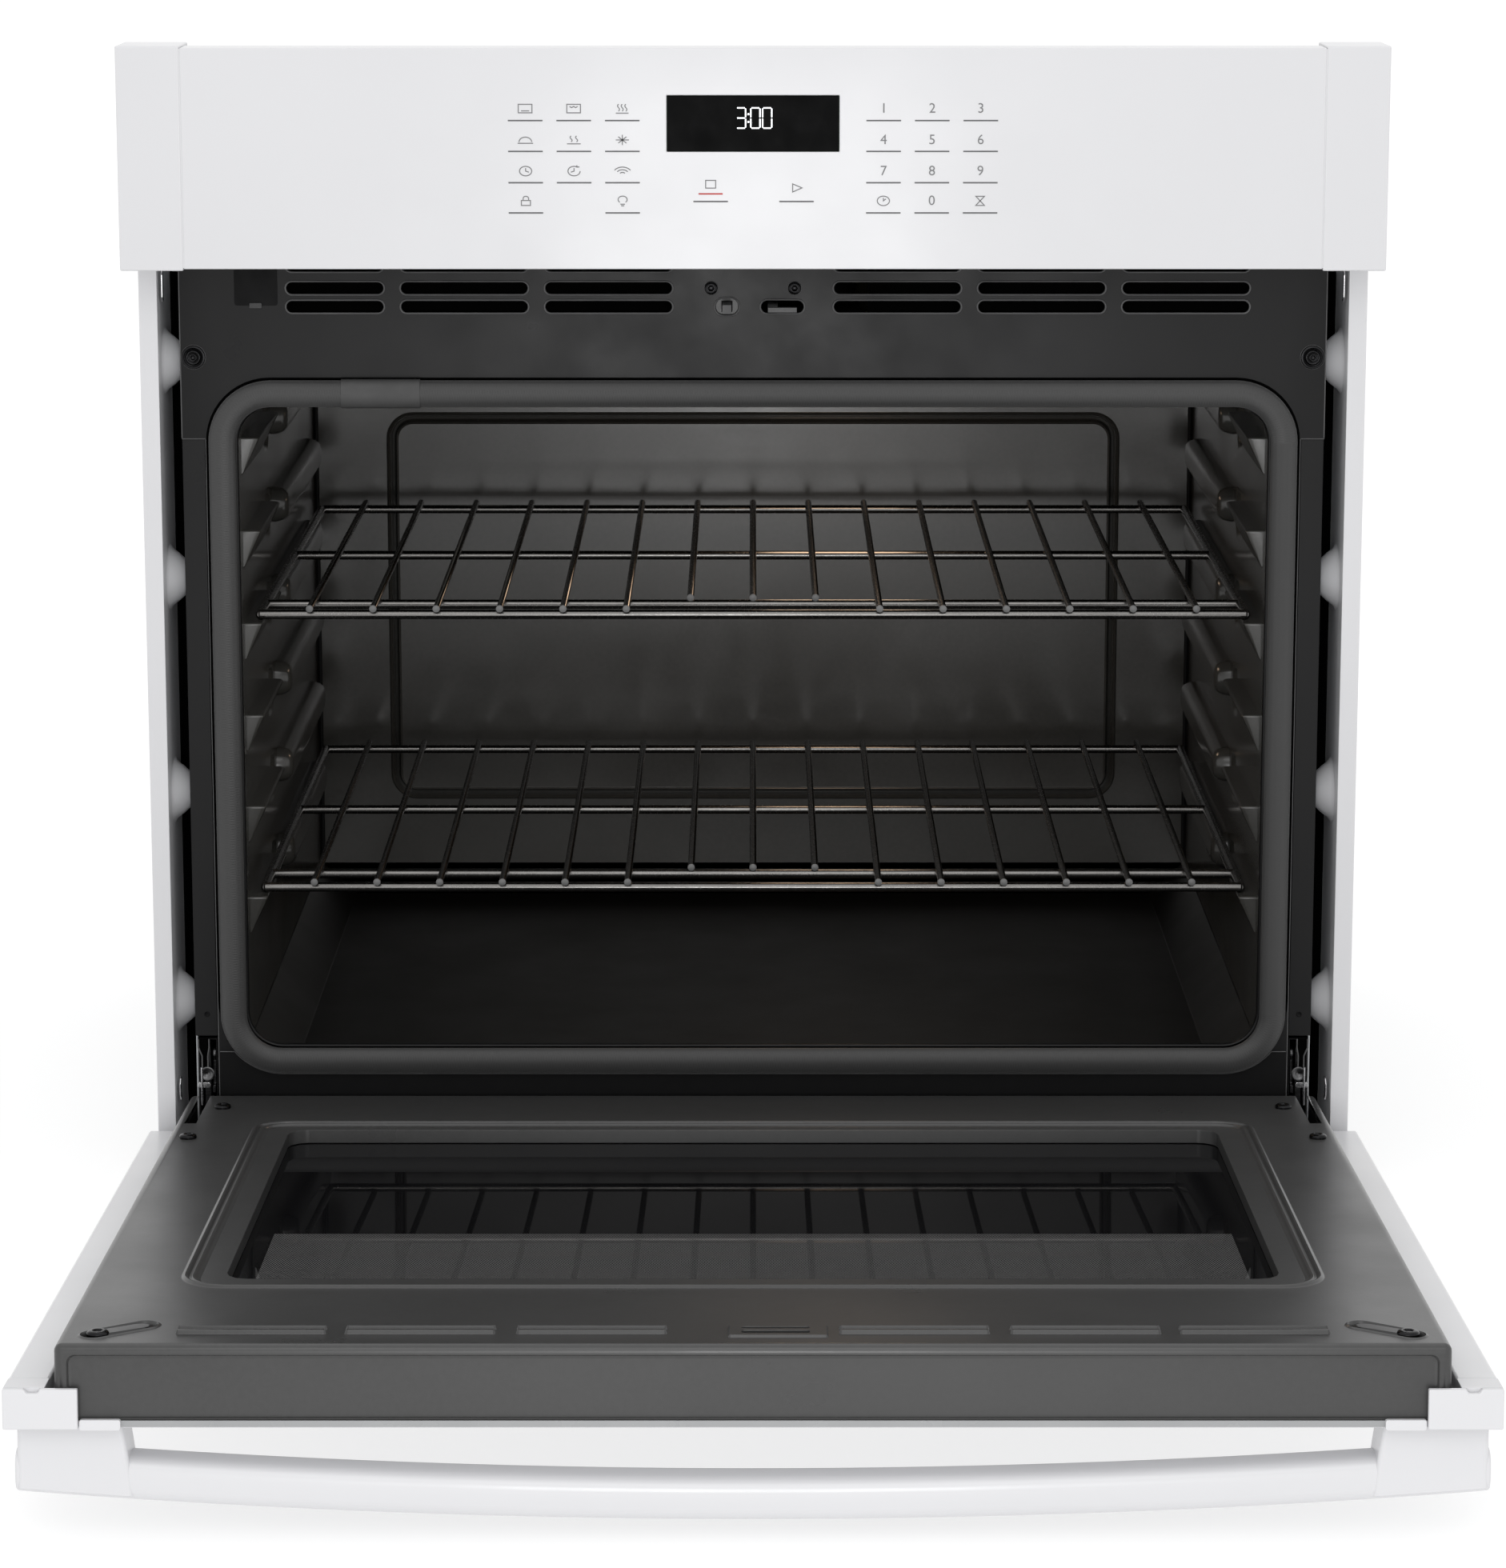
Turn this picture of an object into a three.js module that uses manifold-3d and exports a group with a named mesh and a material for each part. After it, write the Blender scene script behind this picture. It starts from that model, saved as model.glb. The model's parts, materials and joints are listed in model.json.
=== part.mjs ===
// A built-in wall oven with its door hanging open.
// Millimetres, X to the right, Y back into the cabinet, Z up. The origin is on the underside of the base,
// midway across, on the plane of the cabinet's face.
import * as THREE from "three";
import { mergeVertices } from "three/addons/utils/BufferGeometryUtils.js";
import Module from "manifold-3d";

const wasm = await Module();
wasm.setup();

// ---- Driving dimensions ----

// Body that slides into the cabinet, and the face that overlaps it.
const bodyWidth = 699;
const bodyHeight = 690;
const bodyDepth = 585;
const sheet = 1.2; // folded steel sheet
const gap = 0.3; // between pieces that touch
const faceOverhang = 28.5; // of the panel and the door beyond each side of the body

// Louvres in the back panel.
const louvreRows = 3;
const louvresPerSide = 2;
const lowestLouvre = 46; // above the cavity's ceiling
const louvreRowPitch = 18;
const louvreHeight = 6;
const louvreLength = 70;
const louvrePitch = 95;

// Front frame, set back from the cabinet's face.
const frameSetback = 6.5;
const frameFoot = 24; // height of its lower edge
const railWidth = 13.8; // side panels' front flange
const shoulderDrop = 205; // below the body's top, where the frame widens over the flanges
const waistStep = 0.7; // frame's waist inside the flanges
const pocketTop = 106.5; // top of the open hinge pockets
const baseLip = 8; // base pan in front of the cabinet's face
const sweepClearance = 3; // between the bottom trim and the turning door

// Cavity.
const jacketSpace = 33.2; // from the side of the body to the cavity's inner wall
const cavityFloorHeight = 77;
const machinerySpace = 168; // from the cavity's ceiling to the top of the body
const rearSpace = 92; // from the cavity's back wall to the back of the body
const mouthRadius = 22;
const mouthSill = 23.5; // mouth's lower edge above the cavity's floor
const mouthHeader = 16.8; // mouth's upper edge below the ceiling
const floorRampWidth = 26;
const floorRampRise = 24;

// Rack guides pressed in the side walls.
const guideLevels = 6;
const lowestGuide = 113; // above the cavity's floor
const guideHeadroom = 40; // highest guide below the ceiling
const guideReach = 11; // how far a guide stands in from its wall
const guideHeight = 24;
const frontGuideLength = 118;
const guideFrontInset = 25;
const rearGuideGap = 44;
const rearGuideInset = 53;

// Racks.
const rackSideRoom = 8.5; // from a side wall to the middle of the rack's side rod
const rackFrontInset = 38.5; // from the frame to the front rod
const rackRearInset = 38;
const rodRadius = 3;
const wireRadius = 2.2;
const wirePitch = 39.5;
const wiresPerSide = 7;
const gripStep = 35; // second cross rod behind the front rod
const wireOverhang = 6; // of the wires in front of the front rod
const rearWireOverhang = 2;
const wireSink = 0.6; // wires pressed in the rods they are welded to
const shortWires = 1; // each side of the middle, stopping at the grip rod
const middleRodOffset = 12; // behind the rack's middle
const upperRackLevel = 3;
const lowerRackLevel = 0;

// Gasket round the mouth.
const gasketSpace = 9.5; // between the frame and the closed door
const gasketWidth = 16.4;

// Control panel.
const panelRise = 37; // above the body
const panelHeight = 132.6;
const panelOut = 43; // its front before the cabinet's face
const panelTopDepth = 25;
const endCapWidth = 38;
const endCapStep = 1.1; // end caps stand this much past the middle
const endCapWall = 2;
const windowWidth = 102;
const windowHeight = 32.8;
const windowBelowTop = 29.4;
const windowThickness = 2;
const trayLip = 14;
const boardHalf = 160;
const boardThickness = 1.6;
const boardFoot = 14; // above the panel's lower edge
const boardHead = 12; // below the panel's upper edge
const moduleHalf = 44; // display module on the board
const moduleDepth = 10;

// Side trims over the edge of the cabinet.
const trimFaceWidth = 11.3;
const trimFaceOffset = 12.2; // from the side of the body to the trim's flange
const trimFlangeDepth = 65;
const spacerCount = 4;
const lowestSpacer = 124;
const spacerHeadroom = 63.1; // highest spacer below the top of the trim
const spacerBaseRadius = 20;
const spacerTipRadius = 8;

// Vent slots, lock slot and switch hole in the front frame.
const ventRows = 3;
const ventRowPitch = 11.4;
const ventBelowPanel = 5.4; // middle of the top row below the panel's lower edge
const ventHeight = 7;
const ventLength = 77;
const ventPitch = 87.8;
const ventsPerSide = 3;
const shortVentTrim = 18; // taken off the outermost left slots
const lockSlotWidth = 25.8;
const lockSlotHeight = 7.4;
const lockSlotCentre = 17.9;
const switchHoleWidth = 13.9;
const switchHoleHeight = 9.9;
const switchCentre = -15.85;

// Door, in its own frame: origin on the hinge pivot, closed and upright.
const pivotHeight = 49.5;
const pivotOut = 26; // in front of the cabinet's face
const openAngle = 86.3; // degrees
const doorThickness = 43;
const doorInset = 20; // below the pivot
const doorGap = 5; // under the control panel
const sideTrimWidth = 21.1;
const sideTrimDepth = 21;
const linerInset = 25.6; // from the side of the door to the liner
const glassThickness = 4;
const capThickness = 3.6;
const capDepth = 20;
const windowSideMargin = 71.4; // liner between its side and the window
const windowFootMargin = 85; // liner between its foot and the window
const windowHeadMargin = 131;
const windowCorner = 12;
const windowDepth = 10; // inner pane below the liner's face
const paneOverlap = 11;
const frameMargin = 4; // of the window frame beyond the pane
const heatGlassGap = 10; // between the two inner panes

// Handle.
const handleInset = 4; // from the door's side to the end of the bar
const handleHeight = 26;
const handleBelowTop = 11;
const barStandOff = 29; // clear space behind the bar at its middle
const barDepth = 23;
const barBow = 15;
const postWidth = 64;
const postInset = 3; // from the bar's end
const postSteps = 4;
const bowSteps = 16;

// Hinges.
const armThickness = 4;
const armInset = 6.5; // from the body's side to the arm
const armHalfHeight = 6;
const eyeRadius = 9;
const pinRadius = 3;
const armReach = 56; // behind the pivot
const armRise = 48;
const armLegWidth = 16;
const slotRoom = 1.7; // each side of the arm
const clawReach = 22;
const clawHeight = 14;
const receiverWall = 1;
const receiverDepth = 68;
const receiverFoot = 6; // above the frame's lower edge
const receiverHead = 2;
const leverThickness = 2;
const leverGap = 0.8; // between the arm and the lever
const leverLength = 24;
const leverHalfWidth = 3.5;
const leverEyeRadius = 5;
const leverToe = 4;
const leverDrop = 6; // pivot below the top of the arm
const eyeRoom = 2; // in the liner's slot round the arm's eye
const channelRoom = 2.8; // behind the arm's eye in its channel
const channelFoot = 4; // above the door's foot
const channelLength = 186;
const channelDepth = 31;
const springRodRadius = 2.5;
const springRodLength = 130;
const springRodStart = 12; // above the arm's eye
const springRodOffset = 3; // from the pivot towards the liner

// Lock hook and switch plunger.
const hookThickness = 3;
const hookShank = 6;
const hookShankLeft = 9;
const hookTipReach = 26.5;
const hookTravel = 9;
const hookBite = 9; // into the closed door
const lockHalfHeight = 4.5; // of the slot in the door
const lockRoom = 15.5; // left of the hook's shank in that slot
const tipRoom = 2; // past the hook's tip there
const hookTipDepth = 3.4;
const hookTail = 44; // behind the cabinet's face
const bracketThickness = 2;
const bracketDrop = 4; // below the hook
const bracketAcross = [-6, 66];
const bracketRear = 10; // behind the lock motor
const lockMotorCentre = [44, 66];
const lockMotorRadius = 19;
const lockMotorHeight = 34;
const plungerSize = 5.6;
const plungerTravel = 6;
const plungerTail = 20; // behind the frame
const switchHalfWidth = 7;
const switchHalfHeight = 9;
const switchDepth = 36;

// Inside the body.
const fanCentre = [0, 480];
const fanRadius = 48;
const fanHeight = 34;
const fanBlades = 16;
const bladeLength = 12;
const bladeThickness = 1.4;
const bladeTurn = 0.7; // radians
const discThickness = 2;
const hubRadius = 9;
const hubHeight = 12;
const wheelClearance = 7; // between the housing's foot and the wheel
const housingWall = 1.5;
const housingRoom = 16; // round the wheel
const outletReach = 20; // outlet in front of the housing
const inletMargin = 14; // inlet inside the wheel's rim
const motorRadius = 30;
const motorHeight = 40;
const motorBar = 3;
const motorBarHalf = 8;
const glandBore = 8;
const glandRadius = 13;
const glandFlangeRadius = 17;
const glandFlange = 8;
const glandHeight = 22;
const glandSideInset = 90;
const glandFrontInset = 95;
const blanketFront = 90;
const blanketSideRoom = 2;
const blanketClearance = 12; // under the machinery
const blanketThickness = 24;
const elementRadius = 4;
const elementMargin = 70; // from the cavity's sides
const elementTail = 60; // straight run at the back
const elementLegSpace = 14; // from the middle to each end
const broilHeight = 15; // below the ceiling
const broilLoops = 7;
const bakeDrop = 14; // below the floor
const bakeLoops = 3;
const elementFront = 70; // behind the cabinet's face
const bakeOverrun = 20; // ends of the bake element behind the cavity
const lampRadius = 24;
const lampPlace = [-200, 42]; // across, below the ceiling
const lampDome = 14;
const lampCollar = 8;
const lampHolderRadius = 16;
const lampDepth = 42;
const probePlace = [200, 22];
const probeRadius = 2.6;
const probeCollarRadius = 5;
const probeReach = 96; // in front of the back wall
const probeTail = 24; // behind it

// ---- Sizes that follow ----

const bodyHalf = bodyWidth / 2;
const faceHalf = bodyHalf + faceOverhang;
const wallInner = bodyHalf - sheet;
const frameBack = frameSetback + sheet;
const flangeFront = frameBack + gap;
const railInner = bodyHalf - railWidth;
const frameWaist = railInner - waistStep;
const shoulder = bodyHeight - shoulderDrop;

const cavityHalf = bodyHalf - jacketSpace;
const cavityTop = bodyHeight - machinerySpace;
const cavityBack = bodyDepth - rearSpace;
const mouthBottom = cavityFloorHeight + mouthSill;
const mouthTop = cavityTop - mouthHeader;

const guideBase = cavityFloorHeight + lowestGuide;
const guidePitch = (cavityTop - guideHeadroom - guideBase) / (guideLevels - 1);
const guideFront = frameBack + guideFrontInset;
const rearGuideStart = guideFront + frontGuideLength + rearGuideGap;
const rearGuideEnd = cavityBack - rearGuideInset;
const rearGuideMiddle = (rearGuideStart + rearGuideEnd) / 2;
const guideTop = (level) => guideBase + guidePitch * level;

const panelTop = bodyHeight + panelRise;
const panelBottom = panelTop - panelHeight;
const panelHalf = faceHalf - endCapWidth - gap;

const trimInner = bodyHalf + trimFaceOffset;
const trimTop = panelBottom - endCapStep - gap;
const spacerPitch = (trimTop - spacerHeadroom - lowestSpacer) / (spacerCount - 1);
const ventTopRow = panelBottom - ventBelowPanel;
const ventRow = (row) => ventTopRow - ventRowPitch * row;
const switchHeight = ventRow(ventRows - 1);

const linerFace = frameSetback - gasketSpace + pivotOut; // in the door's frame
const doorFace = linerFace - doorThickness;
const doorTop = panelBottom - doorGap - pivotHeight;
const doorHalf = faceHalf;
const linerHalf = doorHalf - linerInset;
const linerTop = doorTop - capThickness - gap;
const linerBack = doorFace + glassThickness + gap;
const windowHalf = linerHalf - windowSideMargin;
const windowFoot = windowFootMargin - doorInset;
const windowHead = linerTop - windowHeadMargin;
const paneFace = linerFace - windowDepth;
const sweepRadius = Math.max(Math.hypot(linerFace, doorInset), Math.hypot(doorFace, doorInset));

const armOuter = bodyHalf - armInset + armThickness / 2;
const armInner = armOuter - armThickness;

// ---- Geometry helpers ----

const axisVectors = {
  x: new THREE.Vector3(1, 0, 0),
  y: new THREE.Vector3(0, 1, 0),
  z: new THREE.Vector3(0, 0, 1),
};
const outlinePlanes = {
  x: new THREE.Matrix4().makeBasis(axisVectors.y, axisVectors.z, axisVectors.x),
  y: new THREE.Matrix4().makeBasis(axisVectors.x, axisVectors.z, axisVectors.y.clone().negate()),
  z: new THREE.Matrix4(),
};

// A closed three.js geometry as a solid that can be joined and cut.
function solid(geometry) {
  const bare = geometry.clone();
  bare.deleteAttribute("normal");
  bare.deleteAttribute("uv");
  const merged = mergeVertices(bare, 1e-4);
  const corners = [];
  for (let i = 0; i < merged.index.count; i += 3) {
    const [a, b, c] = merged.index.array.slice(i, i + 3);
    if (a !== b && b !== c && c !== a) corners.push(a, b, c);
  }
  return new wasm.Manifold(
    new wasm.Mesh({
      numProp: 3,
      vertProperties: new Float32Array(merged.attributes.position.array),
      triVerts: new Uint32Array(corners),
    }),
  );
}

function geometryOf(shape) {
  const mesh = shape.getMesh();
  const geometry = new THREE.BufferGeometry();
  geometry.setAttribute("position", new THREE.BufferAttribute(new Float32Array(mesh.vertProperties), 3));
  geometry.setIndex(new THREE.BufferAttribute(new Uint32Array(mesh.triVerts), 1));
  return geometry.toNonIndexed();
}

const join = (first, ...others) => others.reduce((whole, other) => whole.add(other), first);
const cut = (first, ...others) => others.reduce((whole, other) => whole.subtract(other), first);

// A box from two limits along each axis, in either order.
function block(...limits) {
  const low = limits.map((pair) => Math.min(...pair));
  const high = limits.map((pair) => Math.max(...pair));
  const size = high.map((value, i) => value - low[i]);
  const geometry = new THREE.BoxGeometry(...size);
  geometry.translate(...low.map((value, i) => value + size[i] / 2));
  return solid(geometry);
}

// An outline carried along an axis. Its points are (y, z), (x, z) or (x, y).
function prism(outline, axis, limits) {
  const from = Math.min(...limits);
  const to = Math.max(...limits);
  const shape = new THREE.Shape(outline.map(([u, v]) => new THREE.Vector2(u, v)));
  const geometry = new THREE.ExtrudeGeometry(shape, { depth: to - from, bevelEnabled: false });
  geometry.applyMatrix4(outlinePlanes[axis]);
  const start = axisVectors[axis].clone().multiplyScalar(axis === "y" ? to : from);
  geometry.translate(start.x, start.y, start.z);
  return solid(geometry);
}

// Points of an arc, angles in degrees.
function arc(u, v, radius, from, to, steps) {
  return Array.from({ length: steps + 1 }, (_, i) => {
    const angle = THREE.MathUtils.degToRad(from + ((to - from) * i) / steps);
    return [u + radius * Math.cos(angle), v + radius * Math.sin(angle)];
  });
}

const circle = (u, v, radius, sides = 12) => arc(u, v, radius, 0, 360 - 360 / sides, sides - 1);

function roundRectangle([u0, u1], [v0, v1], radius, steps = 3) {
  return [
    ...arc(u1 - radius, v1 - radius, radius, 0, 90, steps),
    ...arc(u0 + radius, v1 - radius, radius, 90, 180, steps),
    ...arc(u0 + radius, v0 + radius, radius, 180, 270, steps),
    ...arc(u1 - radius, v0 + radius, radius, 270, 360, steps),
  ];
}

// A slot with nearly round ends, its middle at (u, v).
function slot(u, v, length, height) {
  const half = height / 2 - 0.05;
  return roundRectangle([u - length / 2, u + length / 2], [v - height / 2, v + height / 2], half, 3);
}

// A round rod between two points.
function rod(from, to, radius, sides = 8) {
  const start = new THREE.Vector3(...from);
  const along = new THREE.Vector3(...to).sub(start);
  const geometry = new THREE.CylinderGeometry(radius, radius, along.length(), sides);
  geometry.translate(0, along.length() / 2, 0);
  const turn = new THREE.Quaternion().setFromUnitVectors(axisVectors.y, along.clone().normalize());
  geometry.applyQuaternion(turn);
  geometry.translate(start.x, start.y, start.z);
  return solid(geometry);
}

// A round tube along a smooth curve through points.
function tube(points, radius, steps, sides = 6) {
  const corners = points.map((point) => new THREE.Vector3(...point));
  const path = new THREE.CatmullRomCurve3(corners, false, "catmullrom", 0.3);
  const section = new THREE.Shape(circle(0, 0, radius, sides).map(([u, v]) => new THREE.Vector2(u, v)));
  return solid(new THREE.ExtrudeGeometry(section, { steps, extrudePath: path, bevelEnabled: false }));
}

function add(parent, name, shape, color, roughness = 0.5, metalness = 0) {
  const material = new THREE.MeshStandardMaterial({ color, roughness, metalness });
  const mesh = new THREE.Mesh(geometryOf(shape), material);
  mesh.name = name;
  parent.add(mesh);
  return mesh;
}

// Colour, roughness and metalness of each material.
const white = [0xe4e4e6, 0.35, 0];
const enamel = [0x2a2a29, 0.3, 0.1];
const blackPaint = [0x1c1c1d, 0.5, 0.1];
const zinc = [0x9a9c9e, 0.45, 0.8];
const darkWire = [0x4a4a48, 0.35, 0.8];
const blackGlass = [0x050506, 0.08, 0];
const plastic = [0x202022, 0.6, 0];
const rope = [0x3c3c3b, 0.9, 0];
const wool = [0xd8cfa8, 0.95, 0];
const circuitBoard = [0x1d4a2c, 0.5, 0];
const lampGlass = [0xe8e4d8, 0.2, 0];
const sides = { left: -1, right: 1 };

const oven = new THREE.Group();
const door = new THREE.Group();
door.position.set(0, -pivotOut, pivotHeight);
door.rotation.x = THREE.MathUtils.degToRad(openAngle);
oven.add(door);

// ---- Chassis ----

function basePan() {
  return block([-bodyHalf, bodyHalf], [-baseLip, bodyDepth], [0, sheet]);
}

function sidePanel(side) {
  const height = [sheet + gap, bodyHeight - sheet - gap];
  const wall = block([side * wallInner, side * bodyHalf], [flangeFront, bodyDepth], height);
  const flangeDepth = [flangeFront, flangeFront + sheet];
  const flange = block([side * railInner, side * bodyHalf], flangeDepth, [pocketTop, height[1]]);
  return join(wall, flange);
}

function backPanel() {
  const half = wallInner - gap;
  let panel = block([-half, half], [bodyDepth - sheet, bodyDepth], [sheet + gap, bodyHeight - sheet - gap]);
  const through = [bodyDepth - 2 * sheet, bodyDepth + sheet];
  for (let row = 0; row < louvreRows; row++)
    for (let i = -louvresPerSide; i <= louvresPerSide; i++) {
      const low = cavityTop + lowestLouvre + louvreRowPitch * row;
      const across = [i * louvrePitch - louvreLength / 2, i * louvrePitch + louvreLength / 2];
      panel = cut(panel, block(across, through, [low, low + louvreHeight]));
    }
  return panel;
}

function topCover() {
  return block([-bodyHalf, bodyHalf], [flangeFront, bodyDepth], [bodyHeight - sheet, bodyHeight]);
}

function frontFrame() {
  const plate = [frameSetback, frameBack];
  const through = [frameSetback - sheet, frameBack + sheet];
  const outline = [
    [-frameWaist, frameFoot],
    [frameWaist, frameFoot],
    [frameWaist, shoulder],
    [bodyHalf, shoulder],
    [bodyHalf, bodyHeight - sheet - gap],
    [-bodyHalf, bodyHeight - sheet - gap],
    [-bodyHalf, shoulder],
    [-frameWaist, shoulder],
  ];
  const mouth = roundRectangle([-cavityHalf, cavityHalf], [mouthBottom, mouthTop], mouthRadius, 5);
  let frame = cut(prism(outline, "y", plate), prism(mouth, "y", through));
  for (let row = 0; row < ventRows; row++)
    for (let i = 1; i <= ventsPerSide; i++)
      for (const side of [-1, 1]) {
        const trimmed = side < 0 && i === ventsPerSide ? shortVentTrim : 0;
        const middle = side * ventPitch * i + trimmed / 2;
        const vent = slot(middle, ventRow(row), ventLength - trimmed, ventHeight);
        frame = cut(frame, prism(vent, "y", through));
      }
  return cut(
    frame,
    prism(slot(lockSlotCentre, switchHeight, lockSlotWidth, lockSlotHeight), "y", through),
    prism(slot(switchCentre, switchHeight, switchHoleWidth, switchHoleHeight), "y", through),
  );
}

function bottomTrim() {
  const top = pivotHeight - sweepRadius - sweepClearance;
  const under = sheet + gap;
  const profile = [
    [-baseLip, under],
    [frameSetback - gap, under],
    [frameSetback - gap, under + sheet],
    [-baseLip + sheet, under + sheet],
    [-baseLip + sheet, top],
    [-baseLip, top],
  ];
  const half = trimInner - gap;
  return prism(profile, "x", [-half, half]);
}

function sideTrim(side) {
  const profile = [
    [side * (trimInner + trimFaceWidth), -sheet],
    [side * (trimInner + trimFaceWidth), 0],
    [side * (trimInner + sheet), 0],
    [side * (trimInner + sheet), trimFlangeDepth],
    [side * trimInner, trimFlangeDepth],
    [side * trimInner, -sheet],
  ];
  let trim = prism(profile, "z", [0, trimTop]);
  const depth = trimFlangeDepth / 2;
  const length = trimFaceOffset - 2 * gap;
  for (let i = 0; i < spacerCount; i++) {
    const spacer = new THREE.CylinderGeometry(spacerBaseRadius, spacerTipRadius, length, 12);
    spacer.rotateZ(-side * Math.PI / 2);
    spacer.translate(side * (trimInner + gap - length / 2), depth, lowestSpacer + spacerPitch * i);
    trim = join(trim, solid(spacer));
  }
  return trim;
}

add(oven, "base_pan", basePan(), ...zinc);
add(oven, "back_panel", backPanel(), ...zinc);
add(oven, "top_cover", topCover(), ...zinc);
add(oven, "front_frame", frontFrame(), ...blackPaint);
add(oven, "bottom_trim", bottomTrim(), ...white);
for (const [name, side] of Object.entries(sides)) {
  add(oven, "side_panel_" + name, sidePanel(side), ...zinc);
  add(oven, "side_trim_" + name, sideTrim(side), ...white);
}

// ---- Control panel ----

function controlPanel() {
  const low = panelBottom;
  const high = panelTop - endCapStep;
  const profile = [
    [-panelOut, low],
    [-panelOut + panelTopDepth, low],
    [-panelOut + panelTopDepth, low + sheet],
    [-panelOut + sheet, low + sheet],
    [-panelOut + sheet, high - sheet],
    [-panelOut + panelTopDepth, high - sheet],
    [-panelOut + panelTopDepth, high],
    [-panelOut, high],
  ];
  const half = windowWidth / 2 + gap;
  const top = panelTop - windowBelowTop + gap;
  const opening = [top - windowHeight - 2 * gap, top];
  const through = [-panelOut - sheet, -panelOut + 2 * sheet];
  return cut(prism(profile, "x", [-panelHalf, panelHalf]), block([-half, half], through, opening));
}

function displayWindow() {
  const top = panelTop - windowBelowTop;
  const depth = [-panelOut, -panelOut + windowThickness];
  return block([-windowWidth / 2, windowWidth / 2], depth, [top - windowHeight, top]);
}

function endCap(side) {
  const height = [panelBottom - endCapStep, panelTop];
  const across = [side * (faceHalf - endCapWidth), side * faceHalf];
  const hollow = block(
    [across[0] + side * endCapWall, across[1] - side * endCapWall],
    [-panelOut + endCapWall, endCapWall],
    [height[0] + endCapWall, height[1] - endCapWall],
  );
  return cut(block(across, [-panelOut, 0], height), hollow);
}

function controlTray() {
  const back = -panelOut + panelTopDepth + gap;
  const half = panelHalf - gap;
  const plate = block([-half, half], [back, back + sheet], [panelBottom + sheet, panelTop - 2 * sheet]);
  const lip = block([-half, half], [back, back + trayLip], [panelTop - 3 * sheet, panelTop - 2 * sheet]);
  return join(plate, lip);
}

function controlBoard() {
  const front = -panelOut + 2 * windowThickness;
  const top = panelTop - windowBelowTop;
  const height = [panelBottom + boardFoot, panelTop - boardHead];
  const board = block([-boardHalf, boardHalf], [front, front + boardThickness], height);
  const moduleFront = front + boardThickness / 2;
  const depth = [moduleFront, moduleFront + moduleDepth];
  const module = block([-moduleHalf, moduleHalf], depth, [top - windowHeight, top]);
  return join(board, module);
}

add(oven, "control_panel", controlPanel(), ...white);
add(oven, "display_window", displayWindow(), ...blackGlass);
add(oven, "control_tray", controlTray(), ...zinc);
add(oven, "control_board", controlBoard(), ...circuitBoard);
for (const [name, side] of Object.entries(sides))
  add(oven, "panel_end_cap_" + name, endCap(side), ...white);

// ---- Cavity ----

const cavityFront = frameBack + gap;

// A wall with a front ledge and a rear rib at each level, their tops level.
function cavityWall(side) {
  const face = side * cavityHalf;
  const root = face + (side * sheet) / 2;
  const inner = side * (cavityHalf - guideReach);
  const depth = [cavityFront, cavityBack + sheet];
  let wall = block([face, face + side * sheet], depth, [cavityFloorHeight, cavityTop]);
  for (let level = 0; level < guideLevels; level++) {
    const top = guideTop(level);
    const wedge = [
      [root, top],
      [inner, top],
      [root, top - guideHeight],
    ];
    const ledge = prism(wedge, "y", [guideFront, guideFront + frontGuideLength]);
    const rib = slot(rearGuideMiddle, top - guideHeight / 2, rearGuideEnd - rearGuideStart, guideHeight);
    wall = join(wall, ledge, prism(rib, "x", [root, inner]));
  }
  return wall;
}

function cavityCeiling() {
  const half = cavityHalf + sheet;
  return block([-half, half], [cavityFront, cavityBack + sheet], [cavityTop + gap, cavityTop + gap + sheet]);
}

function cavityFloor() {
  const edge = cavityHalf - gap;
  const foot = cavityHalf - floorRampWidth;
  const low = cavityFloorHeight;
  const profile = [
    [-edge, low + floorRampRise],
    [-foot, low],
    [foot, low],
    [edge, low + floorRampRise],
    [edge, low + floorRampRise - sheet],
    [foot, low - sheet],
    [-foot, low - sheet],
    [-edge, low + floorRampRise - sheet],
  ];
  return prism(profile, "y", [cavityFront, cavityBack - gap]);
}

function cavityBackWall() {
  const half = cavityHalf - gap;
  const lamp = circle(lampPlace[0], cavityTop - lampPlace[1], lampRadius + gap, 16);
  const probe = circle(probePlace[0], cavityTop - probePlace[1], probeCollarRadius + gap, 8);
  const plate = [cavityBack, cavityBack + sheet];
  const through = [cavityBack - sheet, cavityBack + 2 * sheet];
  return cut(
    block([-half, half], plate, [cavityFloorHeight - sheet, cavityTop]),
    prism(lamp, "y", through),
    prism(probe, "y", through),
  );
}

function doorGasket() {
  const depth = gasketSpace - 2 * gap;
  const bevel = depth / 2 - 1;
  const ring = (shrink) => {
    const half = cavityHalf + gasketWidth - shrink;
    const limits = [mouthBottom - gasketWidth + shrink, mouthTop + gasketWidth - shrink];
    return roundRectangle([-half, half], limits, mouthRadius + gasketWidth - shrink, 5);
  };
  const shape = new THREE.Shape(ring(bevel).map(([u, v]) => new THREE.Vector2(u, v)));
  const inside = ring(gasketWidth - bevel).map(([u, v]) => new THREE.Vector2(u, v));
  shape.holes.push(new THREE.Path(inside));
  const round = { depth: depth - 2 * bevel, bevelThickness: bevel, bevelSize: bevel, bevelSegments: 2 };
  const geometry = new THREE.ExtrudeGeometry(shape, { bevelEnabled: true, ...round });
  geometry.applyMatrix4(outlinePlanes.y);
  geometry.translate(0, frameSetback - gap - bevel, 0);
  return solid(geometry);
}

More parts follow.
